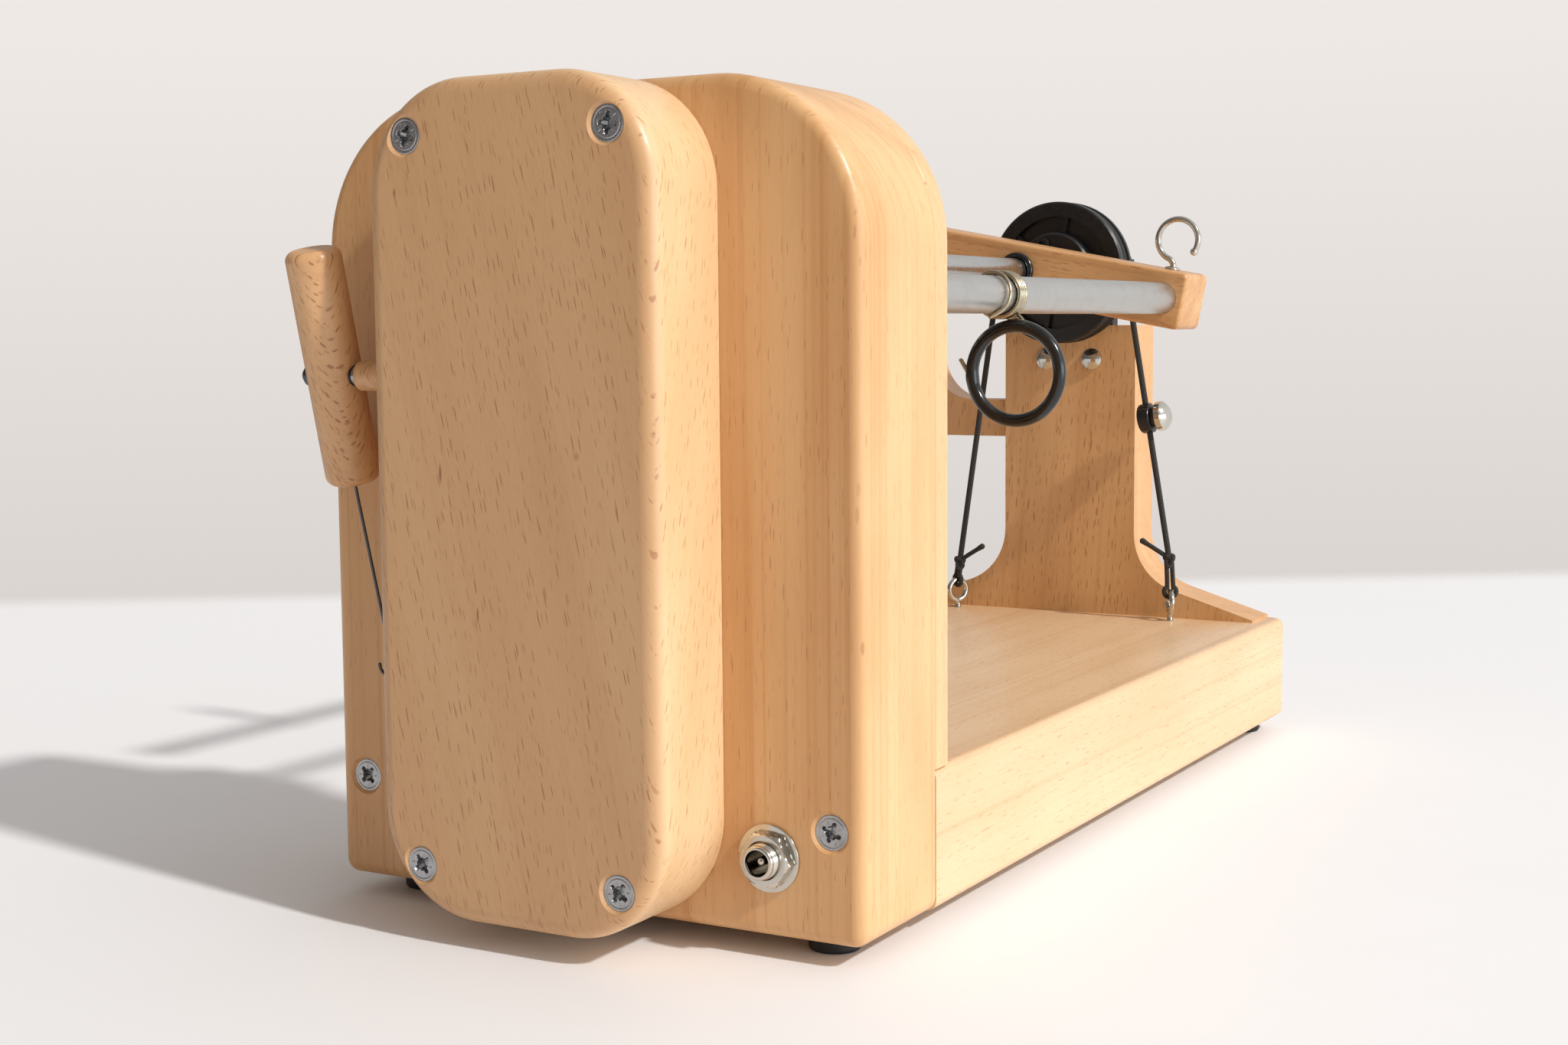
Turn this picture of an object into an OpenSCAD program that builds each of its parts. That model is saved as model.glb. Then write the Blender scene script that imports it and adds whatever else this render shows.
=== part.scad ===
// Electric yarn spinner: a wooden motor housing with a belt cover behind it, a base board that carries
// a front upright, and a two-tube flyer that turns between them about the Y axis.
// Z is up, the orifice faces -Y, and the belt cover faces +Y. Left and right are as seen from behind,
// so left is +X. All sizes are millimetres.

/* [Housing] */
// Width of the housing and of the base board
body_w = 145; // [140:1:160]
// Height of the housing top above the table
body_top = 193; // [190:1:200]
// Radius of the two top corners of the housing
corner_r = 36; // [25:1:38]
// Radius of the two low corners of the housing
low_corner_r = 3.5; // [3.5:0.5:8]
// Rounding of the visible wooden edges
edge_r = 3; // [1.5:0.5:3.5]
// Easing of the edges on both sides of the panel joint
joint_edge_r = 0.8; // [0.4:0.1:1.2]
// Depth of the casing from its rear face to the panel joint
casing_d = 36; // [34:1:40]
// Thickness of the casing's rear wall
rear_wall = 8; // [7:0.5:9]
// Thickness of the casing's side walls
side_wall = 10; // [9:0.5:12]
// Thickness of the front panel
panel_t = 8.5; // [7:0.5:10]

/* [Base and feet] */
// Thickness of the base board
base_h = 33; // [28:1:36]
// Length of the base board in front of the casing
base_l = 280; // [270:1:300]
// Radius of the two front corners of the base board
base_corner_r = 6; // [5:0.5:12]
// Rounding of the base board's long edges
base_edge_r = 2.4; // [1:0.2:3]
// Height of the rubber feet
foot_h = 5; // [3:0.5:8]
// Diameter of the rubber feet
foot_d = 12; // [10:1:16]
// Distance of the front feet from the side and from the end of the base board
foot_inset = 12; // [9:1:16]
// Distance of the rear feet from the sides of the casing and from its rear face
rear_foot_inset = 15; // [9:0.5:18]

/* [Belt cover] */
// Width of the belt cover
cover_w = 76; // [70:1:80]
// Thickness of the belt cover
cover_t = 26; // [24:1:28]
// Radius of the belt cover's corners
cover_r = 25; // [20:1:28]
// Wall of the belt cover
cover_wall = 8; // [6:0.5:9]
// Rounding of the belt cover's rear edge
cover_edge_r = 4; // [2:0.5:5]
// Distance of the cover screws from the cover's sides
cover_screw_side = 11.3; // [10:0.1:13]
// Distance of the cover screws from the cover's ends
cover_screw_end = 12.2; // [10:0.1:14]

/* [Screws] */
// Diameter of the countersunk screw heads
screw_head_d = 8; // [7:0.1:8.6]
// Diameter of the wood screws
screw_d = 4; // [3.5:0.1:4.5]
// Distance of the two casing screws from the housing's sides
casing_screw_side = 8.1; // [7.5:0.1:9]
// Height of the two casing screws above the table
casing_screw_z = 30; // [26:0.5:32]
// Length of the two casing screws
casing_screw_l = 50; // [45:1:60]
// Length of the panel screws
panel_screw_l = 25; // [20:1:30]

/* [Power socket and controls] */
// Place of the power socket, from the cover's side (0) to the housing's side (1)
jack_place = 0.333; // [0.3:0.01:0.4]
// Height of the power socket above the table
jack_z = 23; // [21:0.5:26]
// Thread diameter of the power socket
jack_d = 8; // [7.5:0.1:8.5]
// Bore of the power socket
jack_bore_d = 5.6; // [5.4:0.1:6]
// Length of the socket thread behind the casing
jack_out = 6; // [5:0.5:8]
// Diameter of the socket washer
jack_washer_d = 15.2; // [14:0.2:16]
// Width of the socket nut across its flats
jack_nut_af = 11.4; // [10.5:0.1:12]
// Diameter of the speed knob
knob_d = 24; // [20:1:28]
// Height of the speed knob above its panel
knob_h = 15; // [12:1:18]
// Distance of the knob and of the switch from the middle plane
control_x = 42; // [38:1:46]
// Height of the knob and of the switch above the table
control_z = 68; // [60:1:75]
// Width and height of the direction switch's opening
switch_w = 13; // [12:0.5:15]
switch_h = 19; // [18:0.5:22]

/* [Drive] */
// Distance of the flyer axis below the housing top
axis_drop = 37; // [35:0.5:39]
// Height of the motor axis above the table
motor_z = 62; // [58:0.5:68]
// Diameter of the motor can
motor_d = 42; // [36:1:46]
// Length of the motor can
motor_l = 22; // [18:1:24]
// Diameter of the motor shaft
motor_shaft_d = 5; // [4:0.5:6]
// Outer diameter of the hollow drive shaft
shaft_d = 15; // [14:0.5:16]
// Outer diameter of the two ball bearings of the drive shaft and of the orifice bearing
bearing_d = 24; // [23:0.5:26]
// Width of the ball bearings
bearing_w = 5; // [4:0.5:6]
// Diameter of the driven pulley at the belt
driven_d = 45; // [40:1:48]
// Diameter of the motor pulley at the belt
motor_pulley_d = 12.6; // [11:0.2:16]
// Width of the flat belt
belt_w = 6; // [5:0.5:7]
// Thickness of the flat belt
belt_t = 1.5; // [1:0.1:2]
// Diameter of the bobbin driver in front of the panel
driver_d = 44; // [36:1:48]
// Thickness of the bobbin driver
driver_t = 8; // [7:0.5:9]

/* [Flyer] */
// Turn of the flyer about its axis in the stored pose
flyer_turn = 11; // [0:1:20]
// Gap between the brake disc and the crossbar, where the yarn leaves the orifice tube
exit_gap = 13; // [11:0.5:16]
// Length of wood beyond the axis of each tube
crossbar_end = 7.5; // [7:0.5:10]
// Height of the crossbar
crossbar_h = 18; // [17:0.5:20]
// Thickness of the crossbar along the axis
crossbar_t = 20; // [18:0.5:22]
// Distance of each tube from the flyer axis
tube_r = 50; // [48:0.5:52]
// Outer diameter of the flyer tubes
tube_d = 10; // [9.5:0.1:10.5]
// Wall of the flyer tubes
tube_wall = 1; // [0.8:0.1:1.5]
// Gap between the tubes' rear ends and the front panel
tube_gap = 20.5; // [18:0.5:26]
// Depth of the tube seats in the crossbar
tube_seat = 14; // [10:1:16]
// Diameter of the spindle that carries the bobbin
spindle_d = 8; // [7:0.1:8.5]
// Section of the rubber ring at the spindle's front end
stop_ring_d = 2; // [1.5:0.1:2.5]
// Outer diameter of the orifice tube
orifice_d = 15; // [14:0.5:16]
// Bore of the orifice tube
orifice_bore = 10; // [9:0.5:11]
// Diameter of the side openings where the yarn leaves the orifice tube
exit_d = 9; // [7:0.5:10]
// Length of the orifice tube in front of its bearing
orifice_out = 9; // [6:0.5:14]

/* [Brake] */
// Diameter of the brake disc
disc_d = 48; // [44:1:52]
// Thickness of the brake disc
disc_t = 10; // [8:0.5:11]
// Depth of the groove in the rim of the brake disc
groove_depth = 2.4; // [1.8:0.1:3]
// Gap between the brake disc and the upright
disc_gap = 3; // [2.5:0.5:4]
// Diameter of the elastic brake cord
cord_d = 2; // [1.6:0.1:2.4]
// Diameter of the cord lock's head and of its cap
lock_d = 10; // [9:0.5:11]
// Diameter of the stem that carries the cap
lock_stem_d = 7; // [6:0.2:7.4]
// Stroke of the cap
lock_stroke = 1.7; // [1:0.1:1.8]
// Middle diameter of the screw eyes
eye_d = 7.2; // [6.5:0.1:8]
// Wire of the screw eyes and of the cup hooks
eye_wire = 1.9; // [1.6:0.1:2.2]

/* [Upright] */
// Thickness of the upright
upright_t = 18; // [16:0.5:19]
// Width of the upright's column
column_w = 48; // [46:1:52]
// Distance of the column top below the flyer axis
column_drop = 18; // [16:0.5:20]
// Distance of the upright's foot from the sides of the base board
foot_side = 6.5; // [4:0.5:12]
// Slope of the upright's foot
foot_slope = 17; // [12:1:20]
// Radius of the hollow curves at the foot of the column
foot_curve_r = 20; // [14:1:22]
// Distance between the two cradle bolts
bolt_dx = 16.8; // [15:0.2:18]
// Distance of the two cradle bolts below the column top
bolt_drop = 11.5; // [9:0.5:13]
// Diameter of the cradle bolts
bolt_d = 4; // [3:0.5:4]
// Thickness of the bearing cradle
cradle_t = 5; // [5:0.5:7]
// Height of the side arm
arm_h = 13; // [11:0.5:15]
// Distance of the side arm's underside below the column top
arm_drop = 39; // [36:0.5:43]
// Thickness of the side arm
arm_t = 12; // [10:0.5:14]
// Length of the side arm beyond the column
arm_l = 42; // [38:1:44]
// Radius of the hollow curve between the side arm and its horn
crook_curve_r = 16; // [10:1:18]
// Width of the horn
horn_w = 12; // [10:0.5:14]
// Straight height of the horn above the side arm
horn_up = 20; // [16:1:30]

/* [Yarn guides] */
// Outer diameter of the guide rings
ring_d = 28.6; // [26:0.2:30]
// Section of the guide rings
ring_wire = 3.5; // [3:0.1:4]
// Wire of the spring clamps
clamp_wire = 1.2; // [1:0.1:1.4]
// Turns of the spring clamps
clamp_turns = 4; // [3:1:6]
// Distance of the spring clamps from the tubes' rear ends
clamp_at = 62; // [20:1:150]
// Outward lean of the guide rings, seen along the flyer axis
ring_lean = 21; // [15:1:30]
// Middle diameter of the cup hooks
hook_d = 13.2; // [12:0.2:14]

/* [Threading hook] */
// Diameter of the wooden handle
handle_d = 13; // [12:0.5:14]
// Length of the handle above its magnet
handle_up = 30; // [26:0.5:32]
// Length of the handle below its magnet
handle_down = 26; // [24:0.5:30]
// Lean of the handle towards the rear
handle_lean = 13; // [10:1:15]
// X of the handle's axis
handle_x = 59; // [58:0.5:62]
// Distance of the handle's magnet behind the casing
handle_y = 13.4; // [13:0.1:15]
// Distance of the handle's magnet below the housing top
handle_drop = 65; // [62:0.5:68]
// Diameter of the hook's wire
threader_d = 0.8; // [0.6:0.1:1.2]
// Length of the hook's wire below the handle
threader_l = 41; // [36:1:44]
// Lean of the hook's wire towards the rear
threader_lean = 5; // [3:0.5:6]
// Lean of the hook's wire towards the belt cover
threader_side_lean = 9; // [5:0.5:10]
// Diameter of the dowel that carries the magnet
peg_d = 7; // [6:0.5:8]
// Diameter of the magnet
magnet_d = 5; // [4:0.5:6]
// Thickness of the magnet
magnet_t = 1.6; // [1.2:0.1:2]

/* [Fits] */
// Radial clearance of shafts, pins and screws in their holes
fit = 0.05; // [0.03:0.01:0.08]
// Gap between curved faces of pieces that move past each other
gap = 0.3; // [0.2:0.05:0.4]

/* [Hidden] */
$fn = 64;
eps = 0.5;                                  // how far a cutter reaches past the face it opens
base_top = foot_h + base_h;
upright_inset = 1;                          // the upright stands this far behind the base board's end
overall_l = cover_t + casing_d + base_l - upright_inset + cradle_t + orifice_out;
rear_y = overall_l / 2 - cover_t;           // rear face of the casing; the middle of the length is y = 0
joint_y = rear_y - casing_d;                // joint of the casing with the panel and the base board
panel_y = joint_y - panel_t;                // front face of the panel
base_front_y = joint_y - base_l;
housing_h = body_top - foot_h;
axis_z = body_top - axis_drop;              // height of the flyer axis above the table
wall_y = rear_y - rear_wall;                // inner face of the casing's rear wall
cavity_w = body_w - 2 * side_wall;
cavity_z = foot_h + side_wall;
cavity_h = body_top - side_wall - cavity_z;
cover_h = housing_h - 1;                    // the cover starts 1 above the casing's low edge
cover_z = foot_h + 1;
cover_y = rear_y + cover_t;                 // rear face of the cover
cover_screw_dx = cover_w - 2 * cover_screw_side;
cover_screw_dz = cover_h - 2 * cover_screw_end;
casing_screw_dx = body_w - 2 * casing_screw_side;
jack_x = -(cover_w + jack_place * (body_w - cover_w)) / 2;
pocket_d = cover_t - cover_wall;            // depth of the cover's belt space
pillar_d = screw_head_d + 5;                // wooden pillars round the cover screws
cover_mid_z = cover_z + cover_h / 2;
head_h = (screw_head_d - screw_d) / 2;      // depth of a 90 degree countersunk head
head_sink = 0.6;                            // heads lie this far below the wood
cover_screw_l = cover_t + rear_wall - 1;
panel_side_x = body_w / 2 - side_wall / 2;  // panel screws stand in the middle of the side walls
panel_low_z = base_top + 12;
arc_mid = (corner_r - side_wall / 2) * cos(45);
panel_screws_at = [
    [panel_side_x, panel_low_z], [-panel_side_x, panel_low_z],
    [body_w / 2 - corner_r + arc_mid, body_top - corner_r + arc_mid],
    [-body_w / 2 + corner_r - arc_mid, body_top - corner_r + arc_mid]];

belt_y = rear_y + pocket_d / 2;             // middle plane of the belt
pulley_w = belt_w + 3;
belt_seat = 0.1;                            // gap between the belt and its pulleys
flange_h = 2;                               // how far a pulley flange stands above the belt's seat
shaft_end_y = belt_y + pulley_w / 2 + 2;    // rear end of the drive shaft
driver_y = panel_y - 3;                     // rear face of the bobbin driver
dog_r = 15;                                 // radius of the driver's two pins
dog_d = 5;
dog_l = 6;

upright_front_y = base_front_y + upright_inset;
upright_y = upright_front_y + upright_t;    // rear face of the upright
disc_y = upright_y + disc_gap + disc_t / 2; // middle plane of the brake disc
crossbar_front_y = disc_y + disc_t / 2 + exit_gap;
crossbar_y = crossbar_front_y + crossbar_t;
tube_end_y = panel_y - tube_gap;
clamp_y = tube_end_y - clamp_at;
crossbar_l = 2 * (tube_r + crossbar_end);
cradle_y = upright_front_y - cradle_t;
orifice_front_y = cradle_y - orifice_out;
orifice_seat = 8;                           // how deep the orifice tube sits in the crossbar
spindle_seat = 9;                           // how deep the spindle sits in the crossbar
spindle_end_y = shaft_end_y - 4;
exit_y = (crossbar_front_y + disc_y + disc_t / 2) / 2;
hook_x = tube_r - 1.4;                      // distance of each cup hook from the flyer axis
hook_shank = 3.5;                           // depth of a cup hook's shank, short of the tube's seat
hook_neck = 3;                              // straight neck between the crossbar and the hook's curve
column_top = axis_z - column_drop;
bolt_z = column_top - bolt_drop;
arm_z = column_top - arm_drop;
arm_end_x = column_w / 2 + arm_l;
foot_w = body_w - 2 * foot_side;
foot_edge_z = base_top + 0.8;               // height of the upright's foot at its outer ends
foot_curve_x = column_w / 2 + foot_curve_r; // the hollow curve touches the column and the slope
foot_curve_z = foot_edge_z
    + (foot_curve_r - (foot_curve_x - foot_w / 2) * sin(foot_slope)) / cos(foot_slope);

// The brake cord is tied to two screw eyes, runs up to the disc and round it in its groove.
cord_r = disc_d / 2 - groove_depth + gap + cord_d / 2;
eye_neck = 1.8;                             // bare shank of a screw eye above the board
eye_x = 39.5;
eye_z = base_top + eye_d / 2 + eye_wire / 2 + eye_neck;
eye_y = disc_y - 1.5;
left_knot = [38, 55];
right_knot = [-39.5, 59.5];
cord_sides = 8;
// Angle, seen from the front with X to the right, where a straight run from point p touches the circle.
function touch_angle(p, side) =
    let (dx = p[0], dz = p[1] - axis_z, dist = norm([dx, dz]))
    atan2(dz, dx) + side * acos(cord_r / dist);
left_touch = touch_angle(left_knot, 1);
right_touch = touch_angle(right_knot, -1) + 360;
lock_at = 0.47;                             // place of the lock along the right run, from knot to disc
right_top = [cord_r * cos(right_touch), axis_z + cord_r * sin(right_touch)];
lock_mid = right_knot + lock_at * (right_top - right_knot);
run_lean = atan2(right_top[0] - right_knot[0], right_top[1] - right_knot[1]);
lock_back = 2.4;                            // from the cord to the back of the lock's head
lock_face = 2;                              // from the cord to the face that the stem stands on

handle_z = body_top - handle_drop;
clamp_r = tube_d / 2 + gap + clamp_wire / 2;
ring_arm = ring_d / 2 + clamp_r + clamp_wire / 2 + gap; // from a tube's axis to its guide ring's middle

// ---------------------------------------------------------------- shared shapes

// Section of a block from its middle (x = 0) out to its rounded side at x = reach.
module edge_section(reach, depth, r_near, r_far) intersection() {
    square([reach, depth]);
    union() {
        translate([0, r_near]) square([reach, depth - r_near - r_far]);
        square([reach - r_near, r_near]);
        translate([0, depth - r_far]) square([reach - r_far, r_far]);
        translate([reach - r_near, r_near]) circle(r_near);
        translate([reach - r_far, depth - r_far]) circle(r_far);
    }
}

// A block w wide (X), h high (Y, from 0) and depth deep (Z, from 0) with rounded corners and edges.
module soft_block(w, h, depth, r_top, r_low, r_near, r_far) {
    side = min(r_top, r_low);
    for (turn = [0, 1]) mirror([turn, 0, 0]) {
        translate([w / 2 - r_top, h - r_top]) rotate_extrude(angle = 90)
            edge_section(r_top, depth, r_near, r_far);
        translate([w / 2 - r_low, r_low]) rotate(-90) rotate_extrude(angle = 90)
            edge_section(r_low, depth, r_near, r_far);
        translate([w / 2 - side, h - r_top]) rotate([90, 0, 0]) linear_extrude(h - r_top - r_low)
            edge_section(side, depth, r_near, r_far);
    }
    translate([-w / 2 + side, r_low]) cube([w - 2 * side, h - r_top - r_low, depth]);
    translate([-w / 2 + r_top, h - r_top]) rotate([90, 0, 90]) linear_extrude(w - 2 * r_top)
        edge_section(r_top, depth, r_near, r_far);
    translate([w / 2 - r_low, r_low]) rotate([90, 0, -90]) linear_extrude(w - 2 * r_low)
        edge_section(r_low, depth, r_near, r_far);
}

// Flat outline with two top and two low corner radii, standing on y = 0.
module round_outline(w, h, r_top, r_low) {
    for (side = [-1, 1]) {
        translate([side * (w / 2 - r_top), h - r_top]) circle(r_top);
        translate([side * (w / 2 - r_low), r_low]) circle(r_low);
    }
    translate([-w / 2 + r_top, 0]) square([w - 2 * r_top, h]);
    translate([-w / 2 + r_low, 0]) square([w - 2 * r_low, h - r_top]);
    translate([-w / 2, r_low]) square([w, h - r_top - r_low]);
}

// Stands a drawing up: its Y becomes Z, and its Z runs forwards from the plane y.
module upright_from(y) { translate([0, y, 0]) rotate([90, 0, 0]) children(); }

// A round bar along Y from y0 forwards to y1, centred on x and z.
module bar_y(x, z, d, y0, y1) {
    translate([x, y0, z]) rotate([90, 0, 0]) cylinder(d = d, h = y0 - y1);
}

// A countersunk hole for one wood screw whose head looks towards +Z, with the wood's face at z = 0.
module screw_hole(l, clear = fit) {
    sink = head_h + head_sink + clear;
    shank = screw_d + 2 * clear;
    translate([0, 0, -l - 1]) cylinder(d = shank, h = l + 1);
    translate([0, 0, -sink]) cylinder(d1 = shank, d2 = shank + 2 * (sink + eps), h = sink + eps);
}

// One countersunk wood screw of length l, head towards +Z, with a pointed tip.
module wood_screw(l) {
    tip = screw_d;
    translate([0, 0, -l + tip]) cylinder(d = screw_d, h = l - tip - head_sink - 0.1);
    translate([0, 0, -l]) cylinder(d1 = 0.6, d2 = screw_d, h = tip);
    translate([0, 0, -head_h - head_sink])
        cylinder(d1 = screw_d, d2 = screw_head_d, h = head_h);
}

module facing_rear(x, y, z) { translate([x, y, z]) rotate([-90, 0, 0]) children(); }
module facing_front(x, y, z) { translate([x, y, z]) rotate([90, 0, 0]) children(); }

// Places its child on the flyer, turned with it about the axis.
module on_flyer() { translate([0, 0, axis_z]) rotate([0, -flyer_turn, 0]) children(); }

// A torus whose axis is Z.
module ring(mid_d, wire) { rotate_extrude() translate([mid_d / 2, 0]) circle(d = wire, $fn = 32); }

// ---------------------------------------------------------------- housing

module casing() color("burlywood") difference() {
    translate([0, 0, foot_h]) upright_from(rear_y)
        soft_block(body_w, housing_h, casing_d, corner_r, low_corner_r, edge_r, joint_edge_r);
    difference() {
        translate([0, 0, cavity_z]) upright_from(wall_y) linear_extrude(casing_d)
            round_outline(cavity_w, cavity_h, corner_r - side_wall, low_corner_r);
        for (side = [-1, 1]) bar_y(side * casing_screw_dx / 2, casing_screw_z, pillar_d,
            wall_y + eps, joint_y - eps);
    }
    bar_y(0, axis_z, bearing_d + 2 * fit, wall_y + bearing_w, wall_y - eps);
    bar_y(0, axis_z, bearing_d - 4, rear_y + eps, wall_y);
    bar_y(0, motor_z, motor_boss_d + 2 * fit, rear_y + eps, wall_y - eps);
    for (a = [0, 180]) motor_screw_place(a) translate([0, 0, -rear_wall - eps])
        cylinder(d = 3 + 2 * fit, h = rear_wall + 2 * eps);
    bar_y(jack_x, jack_z, jack_d + 2 * fit, rear_y + eps, wall_y - eps);
    for (side = [-1, 1]) facing_rear(side * casing_screw_dx / 2, rear_y, casing_screw_z)
        screw_hole(casing_d + eps);
    cover_screw_places() screw_pilot(rear_wall - 1, rear_y);
    for (p = panel_screws_at) bar_y(p[0], p[1], screw_d + 2 * fit, panel_y + panel_screw_l + 1,
        joint_y - eps);
    for (p = board_corners()) bar_y(p[0], p[1], board_screw_d + 2 * fit, wall_y + 4, wall_y - eps);
}

// Calls its child once for each cover screw, at the cover's rear face.
module cover_screw_places() {
    for (sx = [-1, 1], sz = [-1, 1])
        translate([sx * cover_screw_dx / 2, 0, cover_mid_z + sz * cover_screw_dz / 2]) children();
}

// A blind pilot hole l deep, going forwards from the plane y.
module screw_pilot(l, y) { translate([0, y + eps, 0]) rotate([90, 0, 0])
    cylinder(d = screw_d + 2 * fit, h = l + eps); }

module front_panel() color("burlywood") difference() {
    translate([0, 0, foot_h]) upright_from(joint_y)
        soft_block(body_w, housing_h, panel_t, corner_r, low_corner_r, joint_edge_r, edge_r);
    translate([-body_w, panel_y - eps, 0]) cube([2 * body_w, panel_t + 2 * eps, base_top]);
    bar_y(0, axis_z, bearing_d + 2 * fit, joint_y + eps, joint_y - bearing_w);
    bar_y(0, axis_z, bearing_d - 4, joint_y, panel_y - eps);
    for (p = panel_screws_at) facing_front(p[0], panel_y, p[1]) screw_hole(panel_t + eps);
    bar_y(-control_x, control_z, pot_neck_d + 2 * fit, joint_y + eps, panel_y - eps);
    translate([control_x - switch_w / 2 - fit, panel_y - eps, control_z - switch_h / 2 - fit])
        cube([switch_w + 2 * fit, panel_t + 2 * eps, switch_h + 2 * fit]);
}

module belt_cover() color("tan") difference() {
    translate([0, 0, cover_z]) upright_from(cover_y)
        soft_block(cover_w, cover_h, cover_t, cover_r, cover_r, cover_edge_r, 0.4);
    difference() {
        translate([0, 0, cover_z + cover_wall]) upright_from(rear_y + pocket_d)
            linear_extrude(pocket_d + eps) round_outline(cover_w - 2 * cover_wall,
                cover_h - 2 * cover_wall, cover_r - cover_wall, cover_r - cover_wall);
        cover_screw_places() bar_y(0, 0, pillar_d, rear_y + pocket_d + eps, rear_y - 2 * eps);
    }
    cover_screw_places() facing_rear(0, cover_y, 0) screw_hole(cover_t + eps);
    translate([cover_w / 2 - peg_seat, peg_y, handle_z]) rotate([0, 90, 0])
        cylinder(d = peg_d + 2 * fit, h = peg_seat + eps);
}

module cover_screws() color("lightslategray")
    cover_screw_places() facing_rear(0, cover_y, 0) wood_screw(cover_screw_l);

module casing_screws() color("lightslategray") for (side = [-1, 1])
    facing_rear(side * casing_screw_dx / 2, rear_y, casing_screw_z) wood_screw(casing_screw_l);

module panel_screws() color("lightslategray") for (p = panel_screws_at)
    facing_front(p[0], panel_y, p[1]) wood_screw(panel_screw_l);

// ---------------------------------------------------------------- base and feet

module base_board() color("wheat") difference() {
    translate([0, joint_y + 2 * base_corner_r, foot_h]) mirror([0, 1, 0])
        soft_block(body_w, base_l + 2 * base_corner_r, base_h, base_corner_r, base_corner_r,
            base_edge_r, base_edge_r);
    translate([-body_w, joint_y, foot_h - eps]) cube([2 * body_w, 4 * base_corner_r, base_h + 1]);
    for (side = [-1, 1])
        translate([side * casing_screw_dx / 2, 0, casing_screw_z])
            screw_pilot(casing_screw_l - casing_d + 0.5, joint_y);
    for (side = [-1, 1]) translate([side * eye_x, eye_y, base_top - 8])
        cylinder(d = eye_wire + 2 * fit, h = 8 + eps);
}

foot_places = [
    [body_w / 2 - rear_foot_inset, rear_y - rear_foot_inset],
    [-body_w / 2 + rear_foot_inset, rear_y - rear_foot_inset],
    [body_w / 2 - foot_inset, base_front_y + foot_inset],
    [-body_w / 2 + foot_inset, base_front_y + foot_inset]];

// Each foot is a turned rubber bumper with a rounded lower edge and a waist.
module rubber_feet() color("#202020") for (p = foot_places) translate([p[0], p[1], 0])
    rotate_extrude() {
        square([foot_d / 2 - 1, foot_h]);
        translate([0, 1]) square([foot_d / 2, foot_h - 1.6]);
        translate([foot_d / 2 - 1, 1]) circle(1);
    }

// ---------------------------------------------------------------- power socket and controls

jack_body_d = 11;
jack_body_l = 14;
washer_t = 1;
nut_t = 2.4;

module power_socket() color("silver") difference() {
    union() {
        bar_y(jack_x, jack_z, jack_d, rear_y + jack_out, wall_y - eps);
        bar_y(jack_x, jack_z, jack_body_d, wall_y, wall_y - jack_body_l);
    }
    difference() {
        bar_y(jack_x, jack_z, jack_bore_d, rear_y + jack_out + eps, rear_y + jack_out - 9.5);
        bar_y(jack_x, jack_z, 2, rear_y + jack_out - 0.8, rear_y + jack_out - 10);
    }
}

module socket_washer() color("gainsboro") difference() {
    bar_y(jack_x, jack_z, jack_washer_d, rear_y + washer_t, rear_y);
    bar_y(jack_x, jack_z, jack_d + 4 * fit, rear_y + washer_t + eps, rear_y - eps);
}

module socket_nut() color("silver") difference() {
    intersection() {
        facing_rear(jack_x, rear_y + washer_t, jack_z)
            cylinder(d = jack_nut_af / cos(30), h = nut_t, $fn = 6);
        facing_rear(jack_x, rear_y + washer_t, jack_z)
            cylinder(d1 = jack_nut_af / cos(30) + 1.5, d2 = jack_nut_af - 0.4, h = nut_t);
    }
    bar_y(jack_x, jack_z, jack_d + 4 * fit, rear_y + washer_t + nut_t + eps, rear_y);
}

pot_neck_d = 9;
pot_shaft_d = 6;
pot_d = 17;
pot_l = 10;
pot_nut_t = 2;
knob_y = panel_y - pot_nut_t - 0.8;         // rear face of the knob

// The potentiometer: a round can behind the panel, and a neck through it with a nut in front.
module potentiometer() color("dimgray") difference() {
    union() {
        bar_y(-control_x, control_z, pot_d, joint_y + pot_l, joint_y);
        bar_y(-control_x, control_z, pot_neck_d, joint_y, panel_y - pot_nut_t - 0.5);
        facing_front(-control_x, panel_y, control_z) cylinder(d = 11, h = pot_nut_t, $fn = 6);
    }
    bar_y(-control_x, control_z, pot_shaft_d + 2 * fit, joint_y + pot_l - 2, panel_y - 5);
}

// The potentiometer's shaft turns in the neck and carries the knob on its front end.
module pot_shaft() color("silver")
    bar_y(-control_x, control_z, pot_shaft_d, joint_y + pot_l - 2.1, knob_y - 9);

// A turned knob on a skirt, with a chamfered face, grip flutes round its side and a pointer groove.
module speed_knob() color("#181818") translate([-control_x, knob_y, control_z])
    rotate([90, 0, 0]) difference() {
        grip_r = knob_d / 2 - 1.6;
        skirt_h = 3;
        rotate_extrude() polygon([[0, 0], [knob_d / 2, 0], [knob_d / 2, skirt_h - 1],
            [knob_d / 2 - 1, skirt_h], [grip_r, skirt_h], [grip_r, knob_h - 1],
            [grip_r - 1, knob_h], [0, knob_h]]);
        for (k = [0:11]) rotate(30 * k + 15) translate([grip_r + 1.3, 0, skirt_h + 0.7])
            cylinder(d = 4, h = knob_h, $fn = 32);
        translate([0, 0, -eps]) cylinder(d = pot_shaft_d, h = 9 + eps);
        translate([-0.5, 2, knob_h - 0.5]) cube([1, knob_d / 2, 1]);
    }

rocker_w = switch_w - 2.4 - 2 * gap;
rocker_h = switch_h - 4.6;
rocker_axle_d = 2;
rocker_axle_y = panel_y + 2;

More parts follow.
